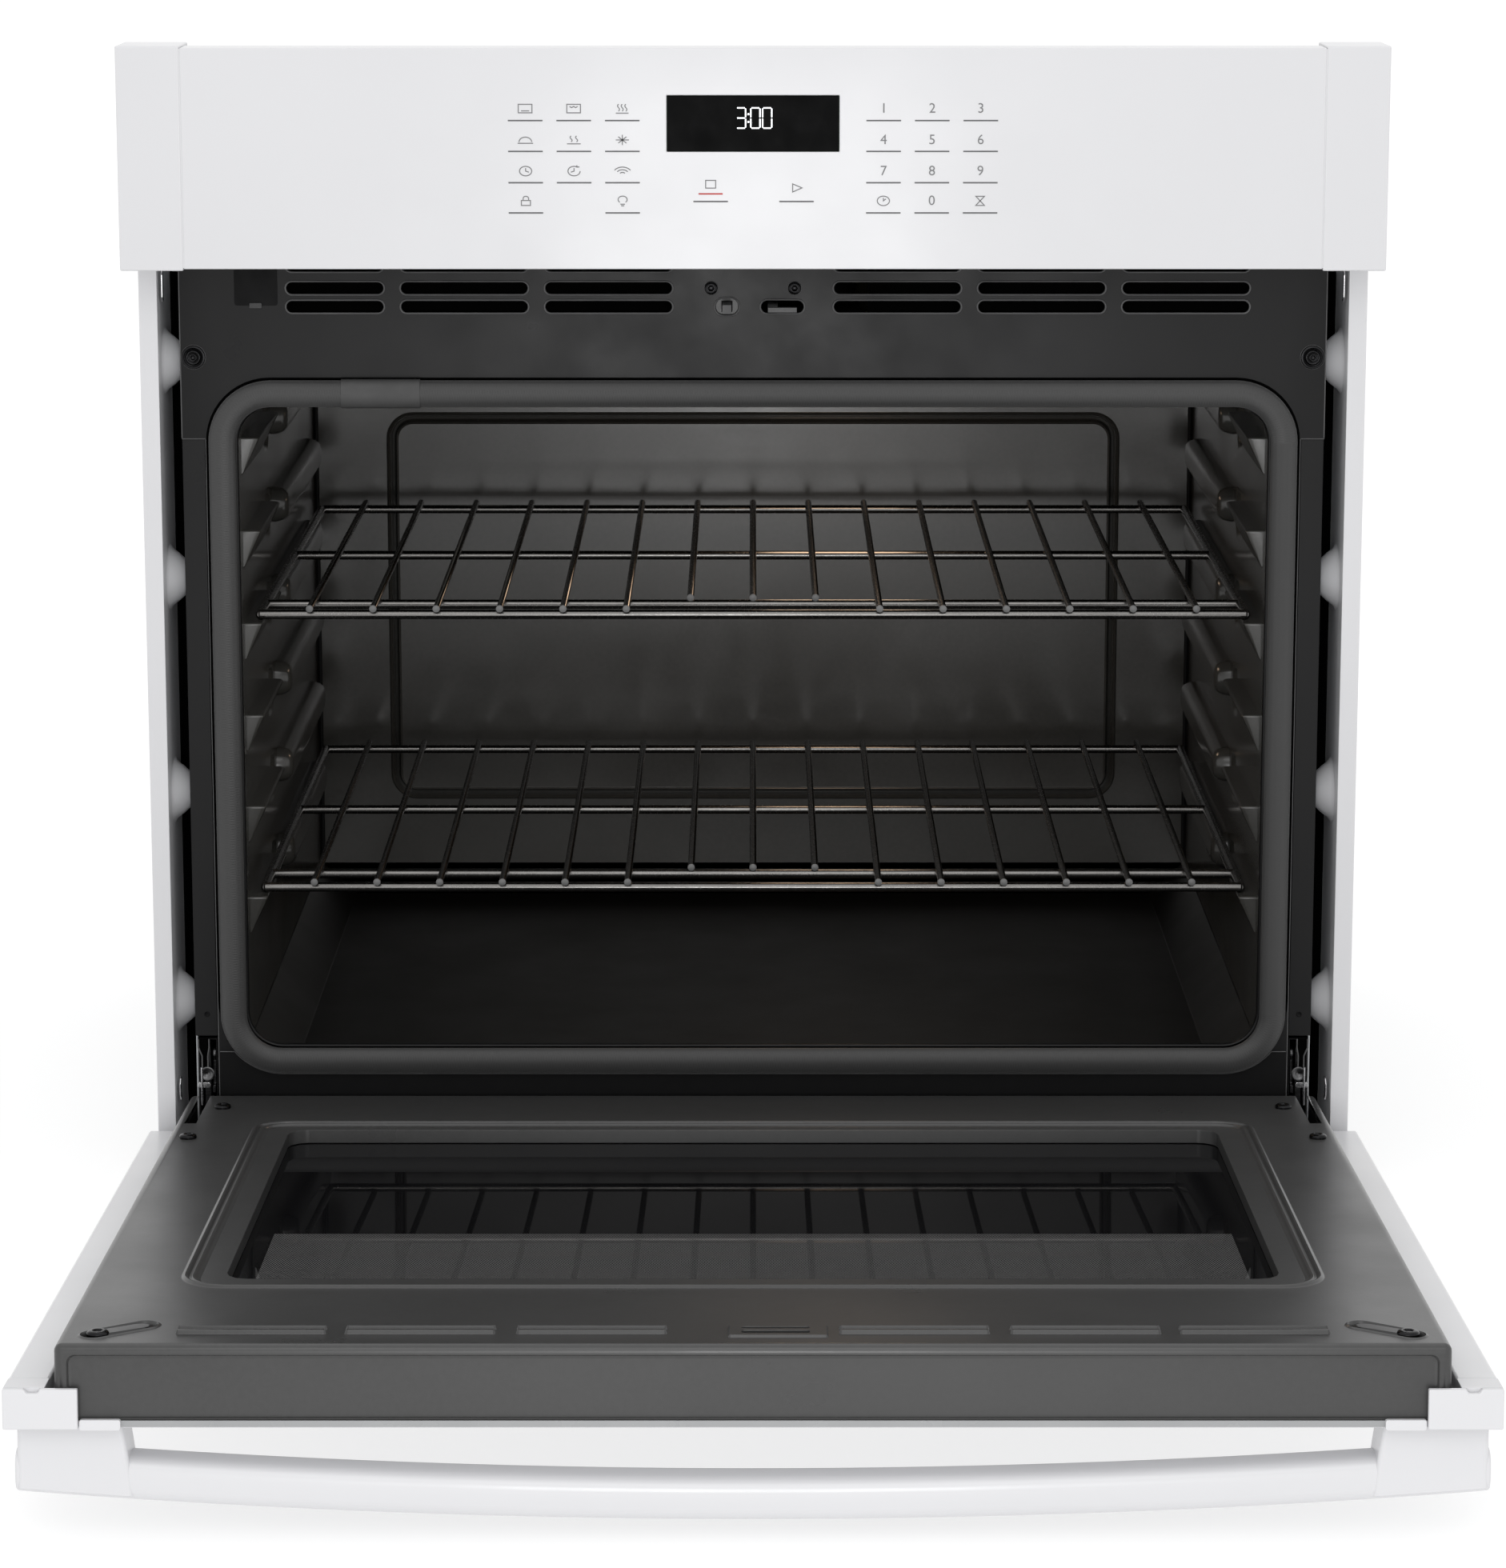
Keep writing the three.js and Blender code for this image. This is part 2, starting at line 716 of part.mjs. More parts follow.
// A rod bent to and fro across the cavity, its two ends side by side at the back.
function heatingElement(height, back, front, loops) {
  const half = cavityHalf - elementMargin;
  const rear = back - elementTail;
  const loopHalf = half / loops;
  const points = [
    [-elementLegSpace, back, height],
    [-elementLegSpace, back - elementTail / 2, height],
    [-half + elementLegSpace, back - elementTail * 0.7, height],
    [-half, rear, height],
  ];
  for (let i = 0; i < loops; i++) {
    const middle = -half + loopHalf * (2 * i + 1);
    const reach = i % 2 ? rear : front;
    points.push([middle - loopHalf / 2, reach, height], [middle + loopHalf / 2, reach, height]);
  }
  const mirrored = points.slice(0, 4).map(([x, y, z]) => [-x, y, z]);
  return tube([...points, ...mirrored.reverse()], elementRadius, 24 + 12 * loops);
}

// A domed lens in front of the wall and its holder behind it.
function ovenLamp() {
  const profile = [
    [0, -lampDome],
    [lampRadius * 0.5, -lampDome * 0.8],
    [lampRadius * 0.85, -lampDome * 0.35],
    [lampRadius, 0],
    [lampRadius, lampCollar],
    [lampHolderRadius, lampCollar],
    [lampHolderRadius, lampDepth],
    [0, lampDepth],
  ];
  const geometry = new THREE.LatheGeometry(profile.map(([r, y]) => new THREE.Vector2(r, y)), 16);
  geometry.translate(lampPlace[0], cavityBack, cavityTop - lampPlace[1]);
  return solid(geometry);
}

function temperatureSensor() {
  const at = (y) => [probePlace[0], cavityBack + y, cavityTop - probePlace[1]];
  const stem = rod(at(probeTail), at(-probeReach), probeRadius);
  return join(stem, rod(at(probeTail), at(sheet + gap), probeCollarRadius));
}

add(oven, "cavity_wall_left", cavityWall(-1), ...enamel);
add(oven, "cavity_wall_right", cavityWall(1), ...enamel);
add(oven, "cavity_ceiling", cavityCeiling(), ...enamel);
add(oven, "cavity_floor", cavityFloor(), ...enamel);
add(oven, "cavity_back_wall", cavityBackWall(), ...enamel);
add(oven, "door_gasket", doorGasket(), ...rope);
const broilAt = [cavityTop - broilHeight, cavityBack - gap];
const bakeAt = [cavityFloorHeight - bakeDrop, cavityBack + bakeOverrun];
add(oven, "broil_element", heatingElement(...broilAt, elementFront, broilLoops), ...darkWire);
add(oven, "bake_element", heatingElement(...bakeAt, elementFront + bakeOverrun, bakeLoops), ...darkWire);
add(oven, "oven_lamp", ovenLamp(), ...lampGlass);
add(oven, "temperature_sensor", temperatureSensor(), ...zinc);

// ---- Racks ----

function rack(level) {
  const half = cavityHalf - rackSideRoom;
  const front = frameSetback + rackFrontInset;
  const back = cavityBack - rackRearInset;
  const middle = (front + back) / 2 + middleRodOffset;
  const grip = front + gripStep;
  const height = guideTop(level) + gap + rodRadius;
  const cross = (y) => rod([-half, y, height], [half, y, height], rodRadius);
  const side = (x) => rod([x, front - rodRadius, height], [x, back + rodRadius, height], rodRadius);
  let whole = join(side(-half), side(half), cross(front), cross(grip), cross(middle), cross(back));
  const wireHeight = height + rodRadius + wireRadius - wireSink;
  for (let i = -wiresPerSide; i <= wiresPerSide; i++) {
    const start = Math.abs(i) <= shortWires ? grip - rearWireOverhang : front - wireOverhang;
    const x = i * wirePitch;
    whole = join(whole, rod([x, start, wireHeight], [x, back + rearWireOverhang, wireHeight], wireRadius, 6));
  }
  return whole;
}

add(oven, "upper_rack", rack(upperRackLevel), ...darkWire);
add(oven, "lower_rack", rack(lowerRackLevel), ...darkWire);

// ---- Machinery above the cavity ----

const machineryFloor = cavityTop + blanketThickness + blanketClearance;

function insulationBlanket() {
  const outer = wallInner - blanketSideRoom;
  const inner = cavityHalf + sheet + blanketSideRoom;
  const under = cavityTop + sheet + 2 * gap + 1;
  const profile = [
    [-outer, cavityFloorHeight],
    [-outer, under + blanketThickness],
    [outer, under + blanketThickness],
    [outer, cavityFloorHeight],
    [inner, cavityFloorHeight],
    [inner, under],
    [-inner, under],
    [-inner, cavityFloorHeight],
  ];
  return prism(profile, "y", [blanketFront, cavityBack + sheet]);
}

const housingHeight = fanHeight + housingRoom;

function fanHousing() {
  const half = fanRadius + housingRoom - housingWall;
  const [x, y] = fanCentre;
  const height = [machineryFloor, machineryFloor + housingHeight];
  const front = y - half - outletReach;
  const outer = block([x - half, x + half], [front, y + half], height);
  const hollow = block(
    [x - half + housingWall, x + half - housingWall],
    [front - 1, y + half - housingWall],
    [height[0] + housingWall, height[1] - housingWall],
  );
  const inlet = circle(x, y, fanRadius - inletMargin, 16);
  return cut(outer, hollow, prism(inlet, "z", [height[1] - 2 * housingWall, height[1] + housingWall]));
}

function fanWheel() {
  const [x, y] = fanCentre;
  const foot = machineryFloor + wheelClearance;
  const disc = prism(circle(x, y, fanRadius, 24), "z", [foot, foot + discThickness]);
  const hub = prism(circle(x, y, hubRadius, 12), "z", [foot + discThickness / 2, foot + hubHeight]);
  let wheel = join(disc, hub);
  const bladeFoot = foot + discThickness / 2;
  for (let i = 0; i < fanBlades; i++) {
    const blade = new THREE.BoxGeometry(bladeLength, bladeThickness, fanHeight - discThickness / 2);
    blade.rotateZ(bladeTurn);
    blade.translate(fanRadius - bladeLength * 0.75, 0, (fanHeight - discThickness / 2) / 2);
    blade.rotateZ((2 * Math.PI * i) / fanBlades);
    blade.translate(x, y, bladeFoot);
    wheel = join(wheel, solid(blade));
  }
  return wheel;
}

function fanMotor() {
  const [x, y] = fanCentre;
  const foot = machineryFloor + housingHeight + gap;
  const drum = prism(circle(x, y, motorRadius, 16), "z", [foot + motorBar / 2, foot + motorHeight]);
  const barReach = [y - motorBarHalf, y + motorBarHalf];
  const bar = block([x - fanRadius, x + fanRadius], barReach, [foot, foot + motorBar]);
  return join(drum, bar);
}

function lockBracket() {
  const foot = switchHeight - hookThickness / 2 - bracketDrop;
  const [x, y] = lockMotorCentre;
  const depth = [frameBack + gap, y + lockMotorRadius + bracketRear];
  const plate = block(bracketAcross, depth, [foot, foot + bracketThickness]);
  const motor = circle(x, y, lockMotorRadius, 16);
  return join(plate, prism(motor, "z", [foot + bracketThickness / 2, foot + lockMotorHeight]));
}

function lockHook() {
  const tip = linerFace - pivotOut - hookBite;
  const right = hookShankLeft + hookShank;
  const profile = [
    [hookShankLeft, hookTail],
    [hookShankLeft, tip],
    [hookTipReach, tip],
    [hookTipReach, tip + hookTipDepth],
    [right, tip + hookTipDepth],
    [right, hookTail],
  ];
  return prism(profile, "z", [switchHeight - hookThickness / 2, switchHeight + hookThickness / 2]);
}

function switchBody() {
  const hollow = plungerSize / 2 + gap;
  const body = block(
    [switchCentre - switchHalfWidth, switchCentre + switchHalfWidth],
    [frameBack + gap, frameBack + switchDepth],
    [switchHeight - switchHalfHeight, switchHeight + switchHalfHeight],
  );
  const bore = block(
    [switchCentre - hollow, switchCentre + hollow],
    [frameBack, frameBack + plungerTail + plungerTravel + gap],
    [switchHeight - hollow, switchHeight + hollow],
  );
  return cut(body, bore);
}

function switchPlunger() {
  const half = plungerSize / 2;
  const tip = linerFace - pivotOut + gap - plungerTravel;
  const across = [switchCentre - half, switchCentre + half];
  return block(across, [tip, frameBack + plungerTail], [switchHeight - half, switchHeight + half]);
}

// A flanged ring for the cable, standing on the top cover.
function conduitGland() {
  const profile = [
    [glandBore, 0],
    [glandFlangeRadius, 0],
    [glandFlangeRadius, glandFlange],
    [glandRadius, glandFlange],
    [glandRadius, glandHeight],
    [glandBore, glandHeight],
    [glandBore, 0],
  ];
  const geometry = new THREE.LatheGeometry(profile.map(([r, z]) => new THREE.Vector2(r, z)), 12);
  geometry.rotateX(Math.PI / 2);
  geometry.translate(bodyHalf - glandSideInset, glandFrontInset, bodyHeight + gap);
  return solid(geometry);
}

add(oven, "insulation_blanket", insulationBlanket(), ...wool);
add(oven, "fan_housing", fanHousing(), ...zinc);
add(oven, "fan_wheel", fanWheel(), ...zinc);
add(oven, "fan_motor", fanMotor(), ...plastic);
add(oven, "lock_bracket", lockBracket(), ...zinc);
add(oven, "lock_hook", lockHook(), ...zinc);
add(oven, "switch_body", switchBody(), ...plastic);
add(oven, "switch_plunger", switchPlunger(), ...plastic);
add(oven, "conduit_gland", conduitGland(), ...zinc);

// ---- Hinges, oven side ----

const pivotY = -pivotOut;

// A pocket open to the front, behind the frame.
function hingeReceiver(side) {
  const across = [side * (railInner + gap), side * (wallInner - gap)];
  const height = [frameFoot + receiverFoot, pocketTop - receiverHead];
  const depth = [flangeFront + sheet + gap, flangeFront + receiverDepth];
  const hollow = block(
    [across[0] + side * receiverWall, across[1] - side * receiverWall],
    [depth[0] - 1, depth[1] - receiverWall],
    [height[0] + receiverWall, height[1] - receiverWall],
  );
  return cut(block(across, depth, height), hollow);
}

function hingeArm(side) {
  const across = [side * armInner, side * armOuter];
  const legBack = pivotY + armReach;
  const top = pivotHeight + armRise;
  const bar = block(across, [pivotY, legBack], [pivotHeight - armHalfHeight, pivotHeight + armHalfHeight]);
  const leg = block(across, [legBack - armLegWidth, legBack], [pivotHeight, top]);
  const claw = block(across, [legBack - 1, legBack + clawReach], [top - clawHeight, top]);
  const eye = prism(circle(pivotY, pivotHeight, eyeRadius, 16), "x", across);
  const bore = [across[0] - side, across[1] + side];
  return cut(join(bar, leg, claw, eye), prism(circle(pivotY, pivotHeight, pinRadius + gap), "x", bore));
}

// A small lever beside the arm, hanging from its pivot.
function hingeLock(side) {
  const outer = armInner - leverGap;
  const across = [side * (outer - leverThickness), side * outer];
  const y = pivotY + armReach - armLegWidth / 2;
  const z = pivotHeight + armRise - leverDrop;
  const foot = z - leverLength;
  const eye = prism(circle(y, z, leverEyeRadius), "x", across);
  const blade = block(across, [y - leverHalfWidth, y + leverHalfWidth], [foot, z]);
  const toe = block(across, [y - leverHalfWidth - leverToe, y], [foot, foot + leverEyeRadius]);
  return join(eye, blade, toe);
}

for (const [name, side] of Object.entries(sides)) {
  add(oven, "hinge_receiver_" + name, hingeReceiver(side), ...zinc);
  add(oven, "hinge_arm_" + name, hingeArm(side), ...zinc);
  add(oven, "hinge_lock_" + name, hingeLock(side), ...zinc);
}

// ---- Door ----

const sideTrimInner = doorHalf - sideTrimWidth;
const sideTrimTop = doorTop - capDepth;

function outerGlass() {
  const half = sideTrimInner - gap;
  return block([-half, half], [doorFace, doorFace + glassThickness], [-doorInset, linerTop]);
}

function doorSideTrim(side) {
  const across = [side * sideTrimInner, side * doorHalf];
  return block(across, [doorFace, doorFace + sideTrimDepth], [-doorInset, sideTrimTop - gap]);
}

function doorEndCap(side) {
  const depth = [doorFace, doorFace + sideTrimDepth];
  const deep = block([side * sideTrimInner, side * doorHalf], depth, [sideTrimTop, doorTop]);
  const across = [side * (doorHalf - endCapWidth), side * (sideTrimInner + 1)];
  return join(deep, block(across, depth, [doorTop - capThickness, doorTop]));
}

function doorLiner() {
  const outer = block([-linerHalf, linerHalf], [linerBack, linerFace], [-doorInset, linerTop]);
  const inner = linerHalf - sheet;
  const hollowHeight = [-doorInset + sheet, linerTop - sheet];
  const hollow = block([-inner, inner], [linerBack - 1, linerFace - sheet], hollowHeight);
  const skin = [linerFace - 2 * sheet, linerFace + sheet];
  const pane = roundRectangle([-windowHalf, windowHalf], [windowFoot, windowHead], windowCorner);
  const lockAcross = [hookShankLeft - lockRoom, hookTipReach + tipRoom];
  const lockHeight = switchHeight - pivotHeight;
  const lock = block(lockAcross, skin, [lockHeight - lockHalfHeight, lockHeight + lockHalfHeight]);
  const hinges = Object.values(sides).map((side) =>
    block(
      [side * (armInner - slotRoom), side * (armOuter + slotRoom)],
      [-eyeRadius - eyeRoom, linerFace + 1],
      [-doorInset - 1, eyeRadius + eyeRoom],
    ),
  );
  return cut(outer, hollow, prism(pane, "y", skin), lock, ...hinges);
}

// The frame that holds the panes behind the liner's opening.
function windowFrame() {
  const margin = paneOverlap + frameMargin;
  const depth = [paneFace + gap, linerFace - sheet - gap];
  const across = [-windowHalf - margin, windowHalf + margin];
  const outer = block(across, depth, [windowFoot - margin, windowHead + margin]);
  const opening = roundRectangle([-windowHalf, windowHalf], [windowFoot, windowHead], windowCorner);
  return cut(outer, prism(opening, "y", [depth[0] - 1, depth[1] + 1]));
}

function pane(face) {
  const across = [-windowHalf - paneOverlap, windowHalf + paneOverlap];
  return block(across, [face - glassThickness, face], [windowFoot - paneOverlap, windowHead + paneOverlap]);
}

const channelNear = armInner - slotRoom - gap;
const channelFar = armOuter + slotRoom + gap;

function hingeChannel(side) {
  const web = -eyeRadius - channelRoom - sheet;
  const depth = [web, web + channelDepth];
  const height = [channelFoot - doorInset, channelFoot - doorInset + channelLength];
  const nearPlate = block([side * (channelNear - sheet), side * channelNear], depth, height);
  const farPlate = block([side * channelFar, side * (channelFar + sheet)], depth, height);
  const back = block([side * (channelNear - sheet), side * (channelFar + sheet)], [web, web + sheet], height);
  const through = [side * (channelNear - 2 * sheet), side * (channelFar + 2 * sheet)];
  return cut(join(nearPlate, farPlate, back), prism(circle(0, 0, pinRadius + gap), "x", through));
}

function hingePin(side) {
  return rod([side * (channelNear - sheet), 0, 0], [side * (channelFar + sheet), 0, 0], pinRadius, 12);
}

function springRod(side) {
  const x = side * (armInner + armThickness / 2);
  const start = eyeRadius + springRodStart;
  return rod([x, springRodOffset, start], [x, springRodOffset, start + springRodLength], springRodRadius);
}

add(door, "door_outer_glass", outerGlass(), ...white);
add(door, "door_liner", doorLiner(), ...enamel);
add(door, "window_frame", windowFrame(), ...enamel);
add(door, "door_inner_glass", pane(paneFace), ...blackGlass);
add(door, "door_heat_glass", pane(paneFace - glassThickness - heatGlassGap), ...blackGlass);
for (const [name, side] of Object.entries(sides)) {
  add(door, "door_side_trim_" + name, doorSideTrim(side), ...white);
  add(door, "door_end_cap_" + name, doorEndCap(side), ...white);
  add(door, "hinge_channel_" + name, hingeChannel(side), ...zinc);
  add(door, "hinge_pin_" + name, hingePin(side), ...zinc);
  add(door, "hinge_spring_rod_" + name, springRod(side), ...zinc);
}

// ---- Handle ----

const handleHalfLength = doorHalf - handleInset;
const handleTop = doorTop - handleBelowTop;
const handleLimits = [handleTop - handleHeight, handleTop];
const bow = (x) => barBow * (x / handleHalfLength) ** 2;
const barBackAt = (x) => doorFace - barStandOff + bow(x);
const along = (from, to, steps, offset) =>
  Array.from({ length: steps + 1 }, (_, i) => {
    const x = from + ((to - from) * i) / steps;
    return [x, barBackAt(x) + offset];
  });

function handleBar() {
  const back = along(-handleHalfLength, handleHalfLength, bowSteps, 0);
  const front = along(handleHalfLength, -handleHalfLength, bowSteps, -barDepth);
  return prism([...back, ...front], "z", handleLimits);
}

function handlePost(side) {
  const outer = side * (handleHalfLength - postInset);
  const inner = side * (handleHalfLength - postInset - postWidth);
  const curve = along(inner, outer, postSteps, gap);
  const profile = [...curve, [outer, doorFace - gap], [inner, doorFace - gap]];
  return prism(profile, "z", handleLimits);
}

add(door, "handle_bar", handleBar(), ...white);
for (const [name, side] of Object.entries(sides))
  add(door, "handle_post_" + name, handlePost(side), ...white);

export default oven;
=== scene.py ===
import json
import math

import bmesh
import bpy
from mathutils import Matrix, Vector
from mathutils.geometry import tessellate_polygon


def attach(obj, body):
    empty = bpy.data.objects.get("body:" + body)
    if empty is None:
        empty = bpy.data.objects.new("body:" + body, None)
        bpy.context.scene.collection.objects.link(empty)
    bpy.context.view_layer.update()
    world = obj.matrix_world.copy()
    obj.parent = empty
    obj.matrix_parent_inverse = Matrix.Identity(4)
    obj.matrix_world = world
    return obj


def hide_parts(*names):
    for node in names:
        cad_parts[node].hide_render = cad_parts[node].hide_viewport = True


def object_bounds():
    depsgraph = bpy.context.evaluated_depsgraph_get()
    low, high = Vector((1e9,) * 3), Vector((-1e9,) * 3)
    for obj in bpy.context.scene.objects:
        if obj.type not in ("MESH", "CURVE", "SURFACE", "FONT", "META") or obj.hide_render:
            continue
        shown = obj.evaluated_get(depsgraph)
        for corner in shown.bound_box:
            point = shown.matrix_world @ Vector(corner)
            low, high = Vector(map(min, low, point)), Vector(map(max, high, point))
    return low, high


bl_info = {
    "name": "Wall oven",
    "version": (1, 0, 0),
    "blender": (4, 5, 0),
    "location": "3D View > Sidebar > Oven",
    "description": "Builds the looks of a built-in wall oven round its frame",
    "category": "Object",
}

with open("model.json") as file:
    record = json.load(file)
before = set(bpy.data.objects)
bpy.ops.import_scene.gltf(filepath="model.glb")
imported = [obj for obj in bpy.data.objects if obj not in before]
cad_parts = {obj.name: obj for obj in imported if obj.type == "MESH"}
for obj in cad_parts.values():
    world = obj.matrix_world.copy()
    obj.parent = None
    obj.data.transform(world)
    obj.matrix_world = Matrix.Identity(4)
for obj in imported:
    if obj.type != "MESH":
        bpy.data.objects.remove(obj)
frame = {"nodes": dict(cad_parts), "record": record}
CAD_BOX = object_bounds()

MM = 0.001
GAP = 0.3  # between neighbouring pieces of the frame
SHEET = 1.2  # folded steel sheet


# ---- Places read from the frame, in millimetres ----


def joint(name):
    return next(j for j in frame["record"]["behaviour"]["joints"] if j["name"] == name)


PIVOT = Vector(joint("door_hinge")["pos_m"]) / MM
OPEN = Matrix.Rotation(math.radians(joint("door_hinge")["range_deg"][1]), 3, "X")
SHUT = OPEN.inverted()


def on_door(x, y, z):
    """A point of the door's own frame, closed and upright about its pivot, where the open door has it."""
    return PIVOT + OPEN @ Vector((x, y, z))


def as_is(x, y, z):
    return Vector((x, y, z))


def corners(node, door=False):
    """Lowest and highest corner of a frame node, in the door's own frame if asked."""
    points = [v.co / MM for v in frame["nodes"][node].data.vertices]
    if door:
        points = [SHUT @ (p - PIVOT) for p in points]
    return (
        Vector(min(p[i] for p in points) for i in range(3)),
        Vector(max(p[i] for p in points) for i in range(3)),
    )


PANEL = corners("control_panel")
FRAME = corners("front_frame")
SIDE = corners("side_panel_right")
BACK = corners("back_panel")
TOP = corners("top_cover")
TRIM = corners("side_trim_right")
GASKET = corners("door_gasket")
REAR_WALL = corners("cavity_back_wall")
WALL = corners("cavity_wall_right")
RACKS = {name: corners(name) for name in ("upper_rack", "lower_rack")}
LINER = corners("door_liner", door=True)
PANE = corners("door_inner_glass", door=True)
GLASS = corners("door_outer_glass", door=True)
CAP = corners("door_end_cap_right", door=True)
BAR = corners("handle_bar", door=True)
POST = corners("handle_post_right", door=True)

BODY_HALF = SIDE[1].x
CAVITY_HALF = REAR_WALL[1].x + GAP
PANEL_FRONT = PANEL[0].y
FRAME_FRONT = FRAME[0].y


# ---- Settings ----


class OvenSizes(bpy.types.PropertyGroup):
    """Sizes of the details, in metres."""

    panel_edge: bpy.props.FloatProperty(
        name="Panel edge",
        description="Rounding of the control panel's edges",
        default=0.0011,
        unit="LENGTH",
    )
    cap_edge: bpy.props.FloatProperty(
        name="Cap edge", description="Rounding of the moulded end caps", default=0.0016, unit="LENGTH"
    )
    sheet_edge: bpy.props.FloatProperty(
        name="Sheet edge", description="Rounding of cut sheet edges", default=0.00035, unit="LENGTH"
    )
    glass_edge: bpy.props.FloatProperty(
        name="Glass edge", description="Ground edge of the panes", default=0.0008, unit="LENGTH"
    )
    ink_height: bpy.props.FloatProperty(
        name="Ink height", description="How far printed marks stand out", default=0.00012, unit="LENGTH"
    )
    mark_stroke: bpy.props.FloatProperty(
        name="Mark stroke", description="Line width of the key marks", default=0.0006, unit="LENGTH"
    )
    rib_height: bpy.props.FloatProperty(
        name="Rib height", description="Height of the door's pressed ribs", default=0.0014, unit="LENGTH"
    )
    rack_rod: bpy.props.FloatProperty(
        name="Rack rod", description="Radius of a rack's frame rods", default=0.003, unit="LENGTH"
    )
    rack_wire: bpy.props.FloatProperty(
        name="Rack wire", description="Radius of a rack's cross wires", default=0.0022, unit="LENGTH"
    )
    bead_height: bpy.props.FloatProperty(
        name="Bead height",
        description="Height of the stiffening beads of the body",
        default=0.004,
        unit="LENGTH",
    )


def colour(name, description, default):
    return bpy.props.FloatVectorProperty(
        name=name, description=description, default=default, size=3, min=0, max=1, subtype="COLOR"
    )


class OvenColours(bpy.types.PropertyGroup):
    """Colours of the finishes, linear."""

    white: colour("White", "Paint of the panel, trims, caps and handle", (0.615, 0.615, 0.63))
    black: colour("Black", "Paint of the front frame", (0.006, 0.006, 0.0063))
    enamel: colour("Door enamel", "Enamel of the door's inner side", (0.036, 0.036, 0.036))
    cavity: colour("Cavity enamel", "Enamel of the cavity", (0.035, 0.034, 0.031))
    zinc: colour("Zinc", "Galvanised body sheet", (0.36, 0.37, 0.38))
    steel: colour("Steel", "Polished hinge pieces", (0.62, 0.62, 0.63))
    wire: colour("Wire", "Heat-darkened rack wire", (0.15, 0.145, 0.14))
    rope: colour("Rope", "Woven gasket", (0.024, 0.024, 0.024))
    key_mark: colour("Key marks", "Grey of the key marks", (0.17, 0.17, 0.175))
    key_line: colour("Key lines", "Dark grey of the lines under the keys", (0.11, 0.11, 0.115))
    stop_line: colour("Stop line", "Red line of the stop key", (0.42, 0.03, 0.03))


class OvenStage(bpy.types.PropertyGroup):
    """Floor, light and camera."""

    camera_y: bpy.props.FloatProperty(
        name="Camera distance", description="Camera along Y", default=-2.72794, unit="LENGTH"
    )
    camera_z: bpy.props.FloatProperty(
        name="Camera height", description="Camera above the base", default=0.8851, unit="LENGTH"
    )
    camera_pitch: bpy.props.FloatProperty(
        name="Camera pitch",
        description="How far the camera looks down",
        default=math.radians(10.12),
        subtype="ANGLE",
    )
    camera_lens: bpy.props.FloatProperty(
        name="Lens", description="Focal length in millimetres", default=103.608
    )
    camera_shift: bpy.props.FloatProperty(name="Shift", description="Vertical lens shift", default=-0.13)
    sky: bpy.props.FloatProperty(name="Sky", description="Brightness of the surroundings", default=1.03)
    key: bpy.props.FloatProperty(name="Key light", description="Power of the light in front", default=9.0)


def sizes():
    return bpy.context.scene.oven_sizes


# ---- Materials ----


class Finish:
    """A material under construction, on the piece's own coordinates."""

    def __init__(self, name):
        self.material = bpy.data.materials.new(name)
        self.material.use_nodes = True
        self.tree = self.material.node_tree
        self.tree.nodes.clear()
        self.shader = self.add("ShaderNodeBsdfPrincipled")
        out = self.add("ShaderNodeOutputMaterial")
        self.tree.links.new(self.shader.outputs[0], out.inputs["Surface"])
        self.place = self.add("ShaderNodeTexCoord").outputs["Object"]

    def add(self, kind, inputs=None, **settings):
        node = self.tree.nodes.new(kind)
        for key, value in settings.items():
            setattr(node, key, value)
        for key, value in (inputs or {}).items():
            self.set(node.inputs[key], value)
        return node

    def set(self, socket, value):
        if isinstance(value, bpy.types.NodeSocket):
            self.tree.links.new(value, socket)
        else:
            socket.default_value = value

    def shade(self, **values):
        for key, value in values.items():
            self.set(self.shader.inputs[key.replace("_", " ")], value)

    def stretch(self, scale):
        return self.add("ShaderNodeMapping", {"Vector": self.place, "Scale": scale}).outputs[0]

    def noise(self, scale, detail=3.0, vector=None, roughness=0.55):
        return self.add(
            "ShaderNodeTexNoise",
            {"Vector": vector or self.place, "Scale": scale, "Detail": detail, "Roughness": roughness},
        ).outputs["Fac"]

    def span(self, value, low, high, start=0.3, end=0.7):
        return self.add(
            "ShaderNodeMapRange",
            {"Value": value, "From Min": start, "From Max": end, "To Min": low, "To Max": high},
        ).outputs[0]

    def math(self, operation, a, b=None, c=None):
        node = self.add("ShaderNodeMath", operation=operation)
        for socket, value in zip(node.inputs, (a, b, c)):
            if value is not None:
                self.set(socket, value)
        return node.outputs[0]

    def mix(self, factor, a, b):
        node = self.add("ShaderNodeMix", data_type="RGBA")
        self.set(node.inputs[0], factor)
        self.set(node.inputs[6], a)
        self.set(node.inputs[7], b)
        return node.outputs[2]

    def bump(self, height, distance, strength=1.0, under=None):
        inputs = {"Height": height, "Distance": distance, "Strength": strength}
        if under is not None:
            inputs["Normal"] = under
        return self.add("ShaderNodeBump", inputs).outputs[0]

    def split(self):
        parts = self.add("ShaderNodeSeparateXYZ", {"Vector": self.place}).outputs
        return parts[0], parts[1], parts[2]


def rgba(colour, factor=1.0):
    return (colour[0] * factor, colour[1] * factor, colour[2] * factor, 1.0)


def coated(name, colour, roughness, vary=0.05, patch=7.0, grain=900.0, bump=2e-5, rough_vary=0.06, **shade):
    """A finish with faint patches of tone and gloss and a fine surface."""
    f = Finish(name)
    patches = f.noise(patch)
    f.shade(
        Base_Color=f.mix(f.span(patches, 0.0, 1.0), rgba(colour, 1 - vary), rgba(colour, 1 + vary)),
        Roughness=f.span(f.noise(patch * 3, 4.0), roughness - rough_vary, roughness + rough_vary),
        Normal=f.bump(f.noise(grain, 2.0), bump),
        **shade,
    )
    return f


